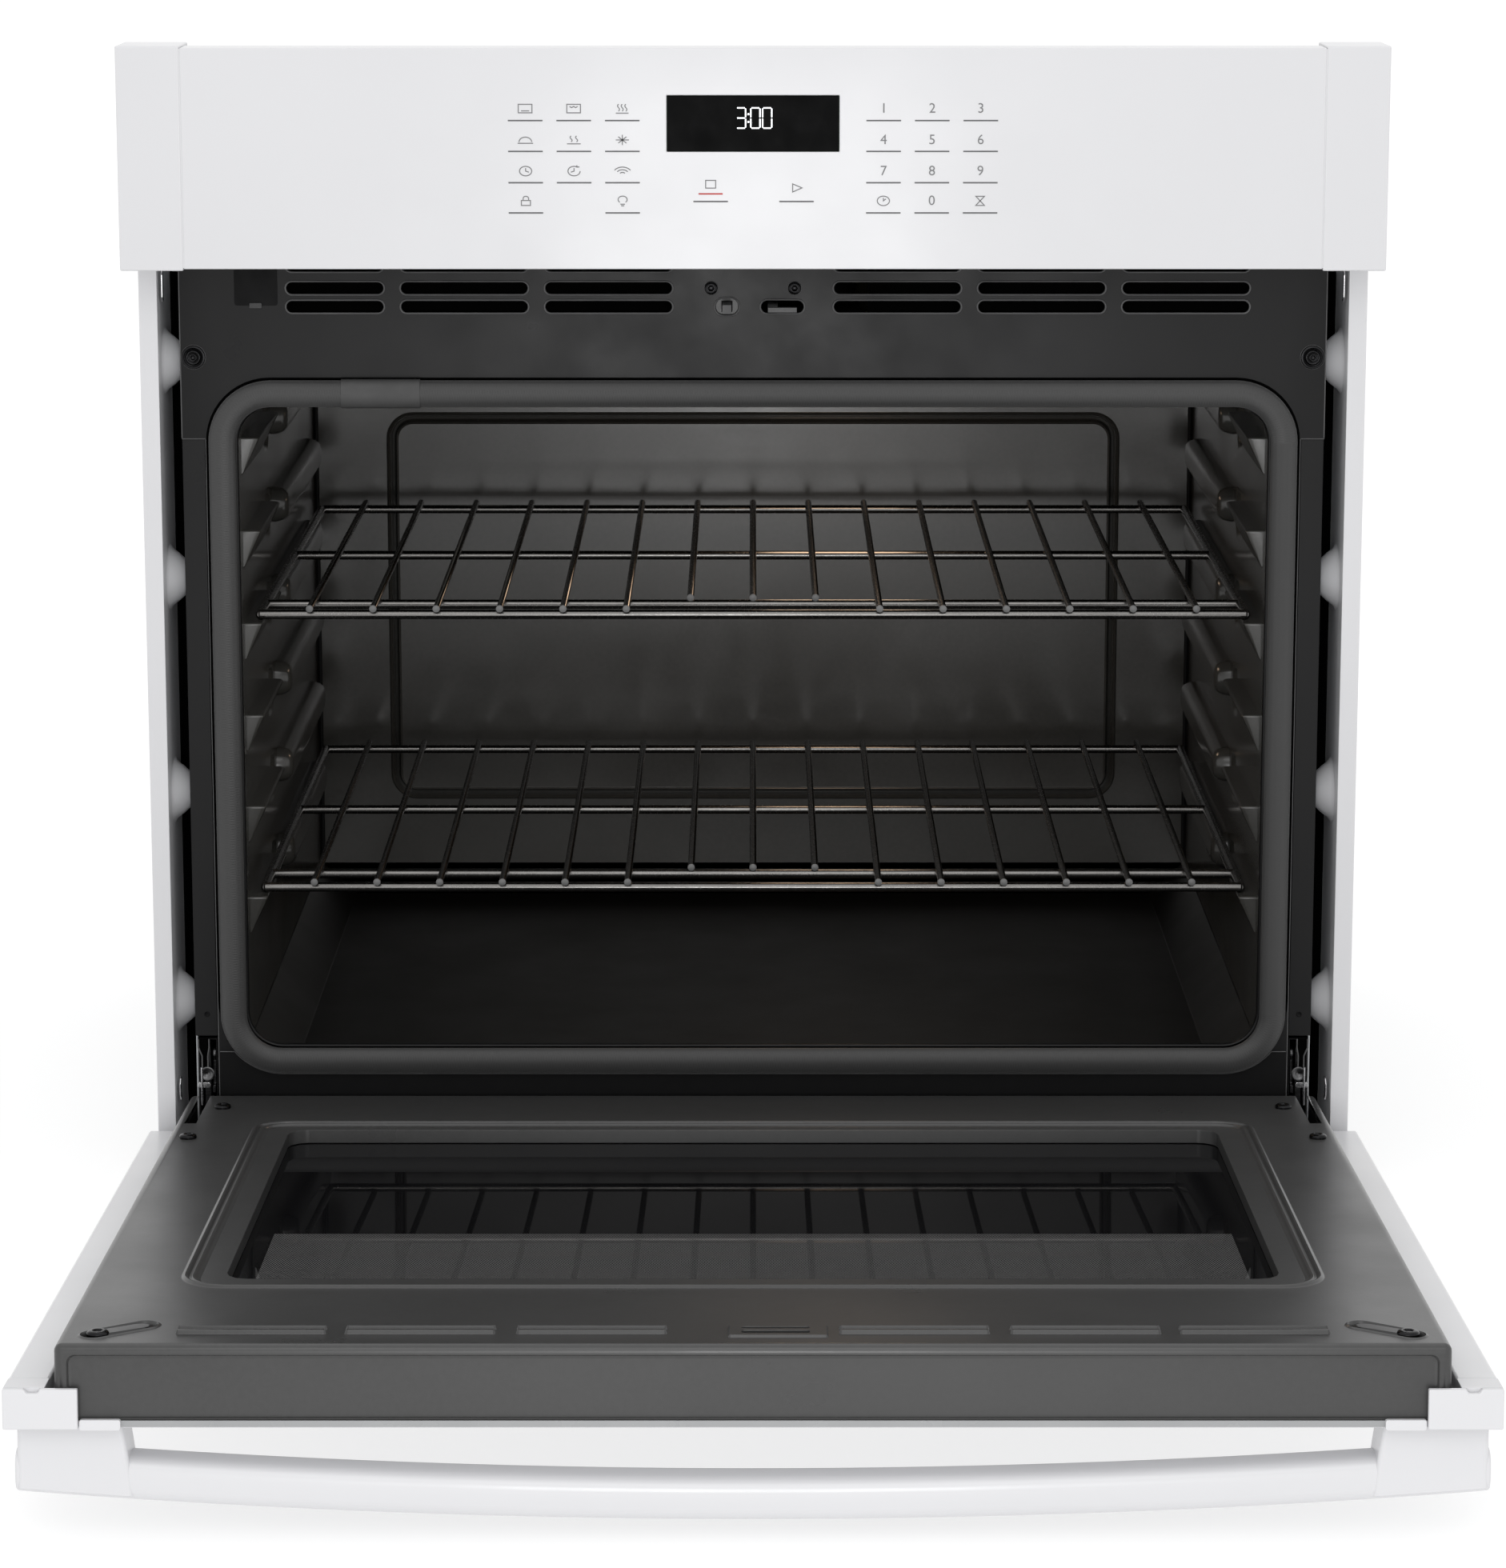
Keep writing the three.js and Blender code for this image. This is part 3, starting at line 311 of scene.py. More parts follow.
def white_paint(name, colour):
    f = coated(name, colour, 0.34, vary=0.008, grain=420.0, bump=1.2e-5, rough_vary=0.05)
    f.shade(Coat_Weight=0.25, Coat_Roughness=0.12)
    return f


def enamel(name, colour, roughness):
    """Porcelain enamel: glossy, with a faint mottling and a slight orange peel."""
    f = coated(name, colour, roughness, vary=0.1, patch=5.0, grain=150.0, bump=2e-5, rough_vary=0.04)
    tone = f.shader.inputs["Base Color"].links[0].from_socket
    mottle = f.span(f.noise(320.0, 2.0), 0.0, 0.5)
    f.shade(Base_Color=f.mix(mottle, tone, rgba(colour, 1.25)))
    return f


def zinc_sheet(name, colour):
    """Galvanised sheet with its crystal pattern."""
    f = Finish(name)
    cells = f.add("ShaderNodeTexVoronoi", {"Vector": f.place, "Scale": 150.0, "Randomness": 1.0})
    grey = f.add("ShaderNodeSeparateColor", {"Color": cells.outputs["Color"]}).outputs[0]
    f.shade(
        Base_Color=f.mix(grey, rgba(colour, 0.93), rgba(colour, 1.06)),
        Roughness=f.span(f.noise(60.0, 4.0), 0.3, 0.4),
        Metallic=0.9,
        Normal=f.bump(f.noise(500.0, 2.0), 1.5e-5),
    )
    return f


def bright_steel(name, colour, roughness=0.22, along=(4.0, 4.0, 90.0)):
    f = Finish(name)
    lines = f.noise(40.0, 3.0, f.stretch(along))
    f.shade(
        Base_Color=f.mix(f.span(f.noise(25.0), 0.0, 1.0), rgba(colour, 0.85), rgba(colour, 1.1)),
        Roughness=f.span(lines, roughness - 0.07, roughness + 0.1),
        Metallic=1.0,
        Normal=f.bump(lines, 8e-6),
    )
    return f


def rope(name, colour):
    """Braided rope: strands crossing both ways, by distance along and around it."""
    f = Finish(name)
    along = f.add("ShaderNodeAttribute", attribute_name="along").outputs["Fac"]
    around = f.add("ShaderNodeAttribute", attribute_name="around").outputs["Fac"]
    pitch = 2 * math.pi / 0.0016
    forward = f.math("MULTIPLY", along, pitch)
    turned = f.math("MULTIPLY", around, 40.0)
    one = f.math("SINE", f.math("ADD", forward, turned))
    two = f.math("SINE", f.math("SUBTRACT", forward, turned))
    weave = f.math("MAXIMUM", one, two)
    fuzz = f.noise(1800.0, 3.0)
    f.shade(
        Base_Color=f.mix(f.span(weave, 0.0, 1.0, -0.4, 1.0), rgba(colour, 0.93), rgba(colour, 1.08)),
        Roughness=f.span(fuzz, 0.42, 0.58),
        Normal=f.bump(fuzz, 2e-5, under=f.bump(weave, 2.5e-5)),
        Sheen_Weight=0.15,
        Sheen_Roughness=0.5,
    )
    return f


def dark_glass(name, band=None):
    """Black reflective glass, with a band of fine printed dots if asked."""
    f = Finish(name)
    smear = f.noise(9.0, 5.0)
    f.shade(Roughness=f.span(smear, 0.01, 0.02), IOR=1.18)
    tint = f.mix(f.span(smear, 0.0, 1.0), (0.0035, 0.0035, 0.004, 1), (0.006, 0.006, 0.0065, 1))
    if band:
        x, y, _ = f.split()
        pitch = 0.0016
        row = f.math("FLOOR", f.math("DIVIDE", y, pitch))
        offset = f.math("MULTIPLY", f.math("PINGPONG", row, 1.0), 0.5)
        u = f.math("SUBTRACT", f.math("FRACT", f.math("ADD", f.math("DIVIDE", x, pitch), offset)), 0.5)
        v = f.math("SUBTRACT", f.math("FRACT", f.math("DIVIDE", y, pitch)), 0.5)
        reach = f.math("SQRT", f.math("ADD", f.math("MULTIPLY", u, u), f.math("MULTIPLY", v, v)))
        (x0, x1), (y0, y1) = band
        off_x = f.math("ABSOLUTE", f.math("SUBTRACT", x, (x0 + x1) / 2))
        off_y = f.math("ABSOLUTE", f.math("SUBTRACT", y, (y0 + y1) / 2))
        across = f.math("LESS_THAN", off_x, (x1 - x0) / 2)
        deep = f.math("LESS_THAN", off_y, (y1 - y0) / 2)
        dots = f.math("MULTIPLY", f.math("LESS_THAN", reach, 0.34), f.math("MULTIPLY", across, deep))
        tint = f.mix(dots, tint, (0.14, 0.14, 0.14, 1))
    f.shade(Base_Color=tint)
    return f


def wool(name):
    f = Finish(name)
    fibres = f.noise(300.0, 8.0, f.stretch((1.0, 0.3, 1.0)), 0.7)
    f.shade(
        Base_Color=f.mix(fibres, (0.42, 0.36, 0.2, 1), (0.75, 0.7, 0.5, 1)),
        Roughness=f.span(fibres, 0.85, 1.0),
        Normal=f.bump(fibres, 8e-4),
    )
    return f


def circuit(name):
    f = Finish(name)
    lines = f.add("ShaderNodeTexBrick", {"Vector": f.stretch((260.0, 260.0, 260.0)), "Mortar Size": 0.06})
    f.shade(
        Base_Color=f.mix(lines.outputs["Fac"], (0.02, 0.13, 0.05, 1), (0.06, 0.24, 0.1, 1)),
        Roughness=f.span(f.noise(200.0), 0.3, 0.45),
        Normal=f.bump(lines.outputs["Fac"], 2e-5),
    )
    return f


def lamp_glass(name):
    f = Finish(name)
    rings = f.noise(220.0, 1.0)
    f.shade(
        Base_Color=f.mix(rings, (0.75, 0.72, 0.62, 1), (0.9, 0.88, 0.8, 1)),
        Roughness=f.span(rings, 0.12, 0.25),
        Normal=f.bump(rings, 2e-4),
        Coat_Weight=0.4,
    )
    return f


def lit(name, colour, strength):
    """Segments of the display, with a faint unevenness."""
    f = Finish(name)
    glow = f.span(f.noise(700.0), strength * 0.92, strength * 1.05)
    f.shade(
        Base_Color=f.mix(f.noise(500.0), rgba(colour, 0.9), rgba(colour)),
        Emission_Color=rgba(colour),
        Emission_Strength=glow,
    )
    return f


FINISHES = {}  # name: (material, record slot)


def make_finishes():
    c = bpy.context.scene.oven_colours
    dots = PANE[0].x + 24, PANE[1].x - 24
    near, far = (on_door(0, PANE[1].y, z).y for z in (PANE[1].z - 12, PANE[1].z - 137))
    band = (dots[0] * MM, dots[1] * MM), (near * MM, far * MM)
    thread_grain = (60.0, 60.0, 60.0)
    rod_grain = (30.0, 30.0, 30.0)
    made = {
        "white_paint": {
            "white": white_paint("white enamel paint", c.white),
            "key mark": coated("key mark ink", c.key_mark, 0.5, vary=0.03, patch=90.0),
            "key line": coated("key line ink", c.key_line, 0.5, vary=0.05, patch=90.0),
            "stop line": coated("stop line ink", c.stop_line, 0.5, vary=0.05, patch=90.0),
        },
        "white_glass": {
            "white glass": white_paint("white backed glass", c.white),
            "glass edge": coated("ground glass edge", (0.3, 0.305, 0.31), 0.25, vary=0.04, patch=20.0),
        },
        "black_paint": {
            "black": coated("black frame paint", c.black, 0.33, vary=0.1, bump=2e-5, Specular_IOR_Level=0.19),
            "label": coated(
                "matt black", (0.0022, 0.0022, 0.0024), 0.6, vary=0.1, patch=30.0, Specular_IOR_Level=0.15
            ),
            # Near-black that stands in for deep shade: painted shade behind slots, in gaps and round the gasket.
            "painted shade": coated(
                "painted shade black", (0.001, 0.001, 0.001), 0.9, vary=0.1, patch=30.0, Specular_IOR_Level=0.02
            ),
            # A lighter grey for rims, edges and collars on the black parts: a painted highlight along them.
            "rim": coated("painted edge highlight grey", (0.07, 0.07, 0.071), 0.38, vary=0.15, patch=60.0),
            "screw": bright_steel("blackened screw", (0.022, 0.022, 0.023), 0.26, thread_grain),
        },
        "dark_enamel": {
            "door enamel": enamel("door enamel", c.enamel, 0.31),
            "cavity enamel": enamel("cavity enamel", c.cavity, 0.2),
            # The cavity floor is the cavity colour cut to 15%: a darker copy as painted shade on the floor.
            "shaded floor enamel": enamel("cavity floor, shaded copy of enamel", [v * 0.15 for v in c.cavity], 0.36),
        },
        "zinc_steel": {
            "zinc": zinc_sheet("galvanised sheet", c.zinc),
            "steel": bright_steel("polished steel", c.steel),
            "dark steel": bright_steel("darkened steel", (0.1, 0.1, 0.102), 0.3),
            "grey steel": coated("dull grey steel", (0.055, 0.055, 0.056), 0.5, vary=0.15, patch=60.0),
            "plate": coated("data plate", (0.62, 0.63, 0.64), 0.4, vary=0.03, patch=30.0),
        },
        "dark_wire": {
            "wire": bright_steel("darkened wire", c.wire, 0.2, rod_grain),
            "element": bright_steel("element sheath", (0.09, 0.085, 0.08), 0.42, rod_grain),
            "wire tip": coated("cut wire", (0.13, 0.13, 0.13), 0.5, vary=0.1, patch=80.0),
        },
        "dark_glass": {
            "dark glass": dark_glass("dark glass"),
            "dotted glass": dark_glass("dotted dark glass", band),
            "display": coated(
                "display glass", (0.0012, 0.0012, 0.0013), 0.3, vary=0.2, patch=20.0, Specular_IOR_Level=0.03
            ),
            "segments": lit("display segments", (0.95, 0.97, 1.0), 1.0),
        },
        "gasket_rope": {
            "rope": rope("braided rope", c.rope),
            "sleeve": coated("gasket sleeve", [v * 1.5 for v in c.rope], 0.5, vary=0.08, patch=60.0),
        },
        "black_plastic": {"plastic": coated("black plastic", (0.008, 0.008, 0.0085), 0.36, vary=0.1, bump=4e-5)},
        "mineral_wool": {"wool": wool("mineral wool")},
        "circuit_board": {"circuit": circuit("circuit board")},
        "lamp_glass": {"lamp": lamp_glass("lamp lens")},
    }
    for slot, finishes in made.items():
        for key, finish in finishes.items():
            FINISHES[key] = (finish.material, slot)



# ---- Mesh helpers, in millimetres ----


class Shell:
    """Points and faces of one mesh."""

    def __init__(self, place=as_is):
        self.points = []
        self.faces = []
        self.place = place

    def ring(self, points):
        first = len(self.points)
        self.points += [self.place(*p) for p in points]
        return list(range(first, len(self.points)))

    def bridge(self, a, b, closed=True):
        count = len(a)
        for i in range(count if closed else count - 1):
            j = (i + 1) % count
            self.faces.append((a[i], a[j], b[j], b[i]))

    def cap(self, ring):
        self.faces.append(tuple(ring))

    def fill(self, outline, holes):
        """Flat faces inside an outline and outside its holes."""
        loops = [[self.points[i] for i in ring] for ring in (outline, *holes)]
        index = [i for ring in (outline, *holes) for i in ring]
        self.faces += [tuple(index[i] for i in face) for face in tessellate_polygon(loops)]

    def loft(self, sections, caps=True):
        rings = [self.ring(s) for s in sections]
        for a, b in zip(rings, rings[1:]):
            self.bridge(a, b)
        if caps:
            self.cap(rings[0])
            self.cap(rings[-1])
        return rings

    def mesh(self, name, edge=0.0, segments=2, angle=32.0, thickness=0.0, merge=1e-3):
        bm = bmesh.new()
        verts = [bm.verts.new(p * MM) for p in self.points]
        for face in self.faces:
            try:
                bm.faces.new([verts[i] for i in dict.fromkeys(face)])
            except ValueError:  # the same face twice
                continue
        bmesh.ops.remove_doubles(bm, verts=bm.verts, dist=merge * MM)
        outward = self.place(0, 0, 1) - self.place(0, 0, 0) if thickness else None
        return finished(bm, name, edge, segments, angle, thickness, outward)


def finished(bm, name, edge, segments=2, angle=32.0, thickness=0.0, outward=None):
    """Turns the faces out, rounds the sharp edges and makes the mesh, with thickness behind an open sheet."""
    bmesh.ops.recalc_face_normals(bm, faces=bm.faces)
    if outward and sum((f.normal * f.calc_area() for f in bm.faces), Vector()).dot(outward) < 0:
        bmesh.ops.reverse_faces(bm, faces=bm.faces)
    if edge:
        sharp = [e for e in bm.edges if len(e.link_faces) == 2 and e.calc_face_angle(0) > math.radians(angle)]
        bmesh.ops.bevel(
            bm, geom=sharp, offset=edge, offset_type="OFFSET", segments=segments, profile=0.5,
            affect="EDGES", clamp_overlap=True,
        )
    mesh = bpy.data.meshes.new(name)
    bm.to_mesh(mesh)
    bm.free()
    mesh.shade_smooth()
    mesh.set_sharp_from_angle(angle=math.radians(angle))
    return dressed(mesh, name, thickness)


def dressed(mesh, name, thickness):
    """The mesh with its thickness behind its faces, if any, and normals that keep large faces flat."""
    shape = bpy.data.objects.new(name + " shape", mesh)
    bpy.context.collection.objects.link(shape)
    if thickness:
        solid = shape.modifiers.new("thickness", "SOLIDIFY")
        solid.thickness = thickness * MM
        solid.offset = -1.0
    flat = shape.modifiers.new("flat faces", "WEIGHTED_NORMAL")
    flat.keep_sharp = True
    flat.weight = 90
    return baked(shape)


def baked(obj):
    """The object's mesh with its modifiers applied; the object is removed."""
    deps = bpy.context.evaluated_depsgraph_get()
    mesh = bpy.data.meshes.new_from_object(obj.evaluated_get(deps))
    bpy.data.objects.remove(obj, do_unlink=True)
    return mesh


def piece(name, mesh, finish, body="chassis", nodes=()):
    """A finished piece at the origin, riding on its body."""
    material, slot = FINISHES[finish]
    obj = bpy.data.objects.new(name, mesh)
    bpy.context.collection.objects.link(obj)
    mesh.materials.clear()
    mesh.materials.append(material)
    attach(obj, body)
    if nodes:
        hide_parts(*nodes)
    return obj


def copy_of(node, name, finish, edge=0.35, body="chassis", segments=2, angle=32.0):
    """A frame node's shape with rounded edges, in its place."""
    bm = bmesh.new()
    bm.from_mesh(frame["nodes"][node].data)
    bmesh.ops.remove_doubles(bm, verts=bm.verts, dist=1e-6)
    flat = math.radians(0.5)
    bmesh.ops.dissolve_limit(bm, angle_limit=flat, verts=bm.verts, edges=bm.edges)
    return piece(name, finished(bm, name, edge * MM, segments, angle), finish, body, (node,))


def circle(radius, count=24, u=0.0, v=0.0, start=0.0):
    angles = [start + 2 * math.pi * i / count for i in range(count)]
    return [(u + radius * math.cos(a), v + radius * math.sin(a)) for a in angles]


def rounded(u0, u1, v0, v1, radius, steps=5):
    """A rectangle with round corners, anticlockwise from the right of its top."""
    radius = max(0.05, min(radius, (u1 - u0) / 2 - 1e-3, (v1 - v0) / 2 - 1e-3))
    points = []
    for cu, cv, turn in (
        (u1 - radius, v1 - radius, 0),
        (u0 + radius, v1 - radius, 1),
        (u0 + radius, v0 + radius, 2),
        (u1 - radius, v0 + radius, 3),
    ):
        for i in range(steps + 1):
            a = math.pi / 2 * (turn + i / steps)
            points.append((cu + radius * math.cos(a), cv + radius * math.sin(a)))
    return points


GUARD = 0.35  # a flat border round each pressing, so that its shading stays its own


def pressing(u0, u1, v0, v1, radius, profile, steps=5):
    """Loops of a pressing in a sheet. The profile is (inset, height) from its edge inwards."""
    loops = []
    for inset, height in [(-GUARD, 0.0), (0.0, 0.0), *profile]:
        outline = rounded(u0 + inset, u1 - inset, v0 + inset, v1 - inset, radius - inset, steps)
        loops.append([(u, v, height) for u, v in outline])
    return loops


def ramp(inset, height, width, rise, steps=4):
    """Points of a smooth step from (inset, height)."""
    shares = [(i + 1) / steps for i in range(steps)]
    return [(inset + width * t, height + rise * t * t * (3 - 2 * t)) for t in shares]


def press(shell, outline, features):
    """Flat sheet inside the outline with its pressings. A feature is (loops, open)."""
    rings = []
    for loops, opened in features:
        made = [shell.ring(loop) for loop in loops]
        for a, b in zip(made, made[1:]):
            shell.bridge(a, b)
        if not opened:
            shell.cap(made[-1])
        rings.append(made[0])
    shell.fill(outline, rings)


def prism(shell, outline, low, high):
    """An outline of (u, v) carried from low to high along w."""
    return shell.loft([[(u, v, w) for u, v in outline] for w in (low, high)])


def tube_mesh(shell, path, radius, sides=10):
    """A round rod along a path of points, with slightly domed ends."""
    points = [Vector(p) for p in path]
    sections = []
    for i, point in enumerate(points):
        before = points[max(i - 1, 0)]
        after = points[min(i + 1, len(points) - 1)]
        along = (after - before).normalized()
        side = along.cross(Vector((0, 0, 1)) if abs(along.z) < 0.9 else Vector((0, 1, 0))).normalized()
        up = side.cross(along)
        scales = [1.0]
        shifts = [0.0]
        if i == 0:
            scales, shifts = [0.6, 0.92, 1.0], [-0.35, -0.15, 0.0]
        if i == len(points) - 1:
            scales, shifts = [1.0, 0.92, 0.6], [0.0, 0.15, 0.35]
        for scale, shift in zip(scales, shifts):
            middle = point + along * shift * radius
            sections.append(
                [tuple(middle + (side * u + up * v) * scale) for u, v in circle(radius, sides)]
            )
    return shell.loft(sections)


# ---- Geometry Nodes ----


class Tree:
    """A Geometry Nodes tree with named inputs."""

    def __init__(self, name, inputs):
        self.tree = bpy.data.node_groups.new(name, "GeometryNodeTree")
        face = self.tree.interface
        face.new_socket(name="Geometry", in_out="INPUT", socket_type="NodeSocketGeometry")
        face.new_socket(name="Geometry", in_out="OUTPUT", socket_type="NodeSocketGeometry")
        for label, kind in inputs:
            face.new_socket(name=label, in_out="INPUT", socket_type="NodeSocket" + kind)
        self.inputs = self.tree.nodes.new("NodeGroupInput").outputs
        self.end = self.tree.nodes.new("NodeGroupOutput").inputs[0]

    def add(self, kind, inputs=None, **settings):
        node = self.tree.nodes.new(kind)
        for key, value in settings.items():
            setattr(node, key, value)
        for key, value in (inputs or {}).items():
            if isinstance(value, bpy.types.NodeSocket):
                self.tree.links.new(value, node.inputs[key])
            else:
                node.inputs[key].default_value = value
        return node.outputs

    def close(self, geometry):
        """Ends the tree with real geometry in its material."""
        real = self.add("GeometryNodeRealizeInstances", {"Geometry": geometry})[0]
        done = self.add("GeometryNodeSetMaterial", {"Geometry": real, "Material": self.inputs["Finish"]})[0]
        self.tree.links.new(done, self.end)
        return self.tree


def run_tree(tree, name, base, values, finish, body="chassis", nodes=(), angle=32.0):
    """Runs a tree on a base mesh and keeps the result as a plain piece."""
    obj = bpy.data.objects.new(name + " base", base)
    bpy.context.collection.objects.link(obj)
    modifier = obj.modifiers.new("build", "NODES")
    modifier.node_group = tree
    values = {**values, "Finish": FINISHES[finish][0]}
    for item in tree.interface.items_tree:
        if item.in_out == "INPUT" and item.name in values:
            modifier[item.identifier] = values[item.name]
    bpy.context.view_layer.update()
    mesh = baked(obj)
    mesh.name = name
    mesh.shade_smooth()
    mesh.set_sharp_from_angle(angle=math.radians(angle))
    return piece(name, mesh, finish, body, nodes)


def row_tree():
    """Copies of one part along a line."""
    t = Tree(
        "row of parts",
        [("Part", "Object"), ("Count", "Int"), ("First", "Vector"), ("Step", "Vector"), ("Finish", "Material")],
    )
    line = t.add(
        "GeometryNodeMeshLine",
        {"Count": t.inputs["Count"], "Start Location": t.inputs["First"], "Offset": t.inputs["Step"]},
        mode="OFFSET",
    )[0]
    part = t.add("GeometryNodeObjectInfo", {"Object": t.inputs["Part"]})["Geometry"]
    placed = t.add("GeometryNodeInstanceOnPoints", {"Points": line, "Instance": part})[0]
    return t.close(placed)


def points_tree():
    """Copies of one part on the base's points, turned by their attribute."""
    t = Tree("parts on points", [("Part", "Object"), ("Finish", "Material")])
    turn = t.add("GeometryNodeInputNamedAttribute", {"Name": "turn"}, data_type="FLOAT_VECTOR")[0]
    turned = t.add("FunctionNodeEulerToRotation", {"Euler": turn})[0]
    part = t.add("GeometryNodeObjectInfo", {"Object": t.inputs["Part"]})["Geometry"]
    placed = t.add(
        "GeometryNodeInstanceOnPoints",
        {"Points": t.inputs["Geometry"], "Instance": part, "Rotation": turned},
    )[0]
    return t.close(placed)


def loop_tree():
    """A rope of oval section round a rectangle with round corners, in the XZ plane."""
    t = Tree(
        "rope round an opening",
        [("Width", "Float"), ("Height", "Float"), ("Corner", "Float"), ("Rope Width", "Float"),
         ("Rope Depth", "Float"), ("Centre", "Vector"), ("Finish", "Material")],
    )
    size = {"Width": t.inputs["Width"], "Height": t.inputs["Height"]}
    square = t.add("GeometryNodeCurvePrimitiveQuadrilateral", size)[0]
    soft = t.add(
        "GeometryNodeFilletCurve",
        {"Curve": square, "Radius": t.inputs["Corner"], "Count": 14, "Limit Radius": True},
        mode="POLY",
    )[0]
    where = t.add("GeometryNodeSplineParameter")["Length"]
    marked = t.add(
        "GeometryNodeStoreNamedAttribute", {"Geometry": soft, "Name": "along", "Value": where},
        data_type="FLOAT", domain="POINT",
    )[0]
    ring = t.add("GeometryNodeCurvePrimitiveCircle", {"Resolution": 18, "Radius": 0.5})[0]
    around = t.add("GeometryNodeSplineParameter")["Factor"]
    ring = t.add(
        "GeometryNodeStoreNamedAttribute", {"Geometry": ring, "Name": "around", "Value": around},
        data_type="FLOAT", domain="POINT",
    )[0]
    section = {"X": t.inputs["Rope Width"], "Y": t.inputs["Rope Depth"], "Z": 1.0}
    section = t.add("ShaderNodeCombineXYZ", section)[0]
    oval = t.add("GeometryNodeTransform", {"Geometry": ring, "Scale": section})[0]
    swept = t.add("GeometryNodeCurveToMesh", {"Curve": marked, "Profile Curve": oval})[0]
    stood = t.add(
        "GeometryNodeTransform",
        {"Geometry": swept, "Rotation": (math.pi / 2, 0.0, 0.0), "Translation": t.inputs["Centre"]},
    )[0]
    return t.close(stood)


def rim_tree():
    """A round bead along the edge of each oblong slot whose centre is a point of the base."""
    t = Tree(
        "rims of slots",
        [("Length", "Float"), ("Height", "Float"), ("Bead", "Float"), ("Finish", "Material")],
    )
    size = {"Width": t.inputs["Length"], "Height": t.inputs["Height"]}
    edge = t.add("GeometryNodeCurvePrimitiveQuadrilateral", size)[0]
    half = t.add("ShaderNodeMath", {0: t.inputs["Height"], 1: 0.499}, operation="MULTIPLY")[0]
    soft = t.add(
        "GeometryNodeFilletCurve",
        {"Curve": edge, "Radius": half, "Count": 7, "Limit Radius": True},
        mode="POLY",
    )[0]
    wire = t.add("GeometryNodeCurvePrimitiveCircle", {"Resolution": 8, "Radius": t.inputs["Bead"]})[0]
    bead = t.add("GeometryNodeCurveToMesh", {"Curve": soft, "Profile Curve": wire})[0]
    stood = t.add("GeometryNodeTransform", {"Geometry": bead, "Rotation": (math.pi / 2, 0.0, 0.0)})[0]
    placed = t.add("GeometryNodeInstanceOnPoints", {"Points": t.inputs["Geometry"], "Instance": stood})[0]
    return t.close(placed)


TREES = {}


def tree(name):
    makers = {"row": row_tree, "points": points_tree, "loop": loop_tree, "rim": rim_tree}
    if name not in TREES:
        TREES[name] = makers[name]()
    return TREES[name]


def template(name, mesh):
    obj = bpy.data.objects.new(name + " template", mesh)
    bpy.context.collection.objects.link(obj)
    return obj


def row(name, part, finish, count, first, step, body="chassis", nodes=()):
    part = template(name, part)
    values = {"Part": part, "Count": count, "First": Vector(first) * MM, "Step": Vector(step) * MM}
    made = run_tree(tree("row"), name, bpy.data.meshes.new(name), values, finish, body, nodes)
    bpy.data.objects.remove(part, do_unlink=True)
    return made


def scatter(name, part, finish, places, turns, body="chassis"):
    """One part at each place, turned by Euler angles in degrees."""
    part = template(name, part)
    base = bpy.data.meshes.new(name)
    base.from_pydata([tuple(Vector(p) * MM) for p in places], [], [])
    turn = base.attributes.new("turn", "FLOAT_VECTOR", "POINT")
    for item, angles in zip(turn.data, turns):
        item.vector = [math.radians(a) for a in angles]
    made = run_tree(tree("points"), name, base, {"Part": part}, finish, body)
    bpy.data.objects.remove(part, do_unlink=True)
    return made


def rims(name, places, length, height, bead, finish):
    base = bpy.data.meshes.new(name)
    base.from_pydata([tuple(Vector(p) * MM) for p in places], [], [])
    values = {"Length": length * MM, "Height": height * MM, "Bead": bead * MM}
    return run_tree(tree("rim"), name, base, values, finish)


FRONT = (90.0, 0.0, 0.0)  # turns a part that points up to face the front
REAR = (-90.0, 0.0, 0.0)
UP = (0.0, 0.0, 0.0)


def button(name, rings, count=24):
    """A round part pointing up. A ring is (radius or function of angle, height)."""
    shell = Shell()
    sections = []
    for radius, height in rings:
        points = []
        for i in range(count):
            a = 2 * math.pi * i / count
            r = radius(a) if callable(radius) else radius
            points.append((r * math.cos(a), r * math.sin(a), height))
        sections.append(points)
    shell.loft(sections)
    return shell.mesh(name)


def star(radius, depth=0.13):
    return lambda a: radius * (1 + depth * math.cos(6 * a))


def hexagon(radius):
    return lambda a: radius * math.cos(math.pi / 6) / math.cos((a % (math.pi / 3)) - math.pi / 6)


def star_screw(radius=3.6, height=1.9):
    r = radius
    return button(
        "star screw",
        [(r, -0.4), (r, height * 0.45), (r * 0.93, height * 0.75), (r * 0.75, height * 0.95),
         (r * 0.55, height), (star(r * 0.45), height), (star(r * 0.42), height - 1.2), (r * 0.1, height - 1.3)],
    )


def hex_screw(radius=4.2):
    r = radius
    return button(
        "hex screw",
        [(r, -0.3), (r, 0.6), (r * 0.92, 0.9), (r * 0.74, 1.0), (hexagon(r * 0.7), 1.1),
         (hexagon(r * 0.7), 3.2), (hexagon(r * 0.62), 3.6), (r * 0.4, 3.7), (r * 0.34, 3.1), (r * 0.1, 3.0)],
    )


def collar(radius):
    """The raised edge round a screw's seat."""
    shell = Shell()
    profile = [(-0.3, -0.2), (-0.2, 0.25), (0.0, 0.4), (0.2, 0.25), (0.3, -0.2)]
    rings = [shell.ring([(u, v, w) for u, v in circle(radius + out, 32)]) for out, w in profile]
    for a, b in zip(rings, [*rings[1:], rings[0]]):
        shell.bridge(a, b)
    return shell.mesh("collar")


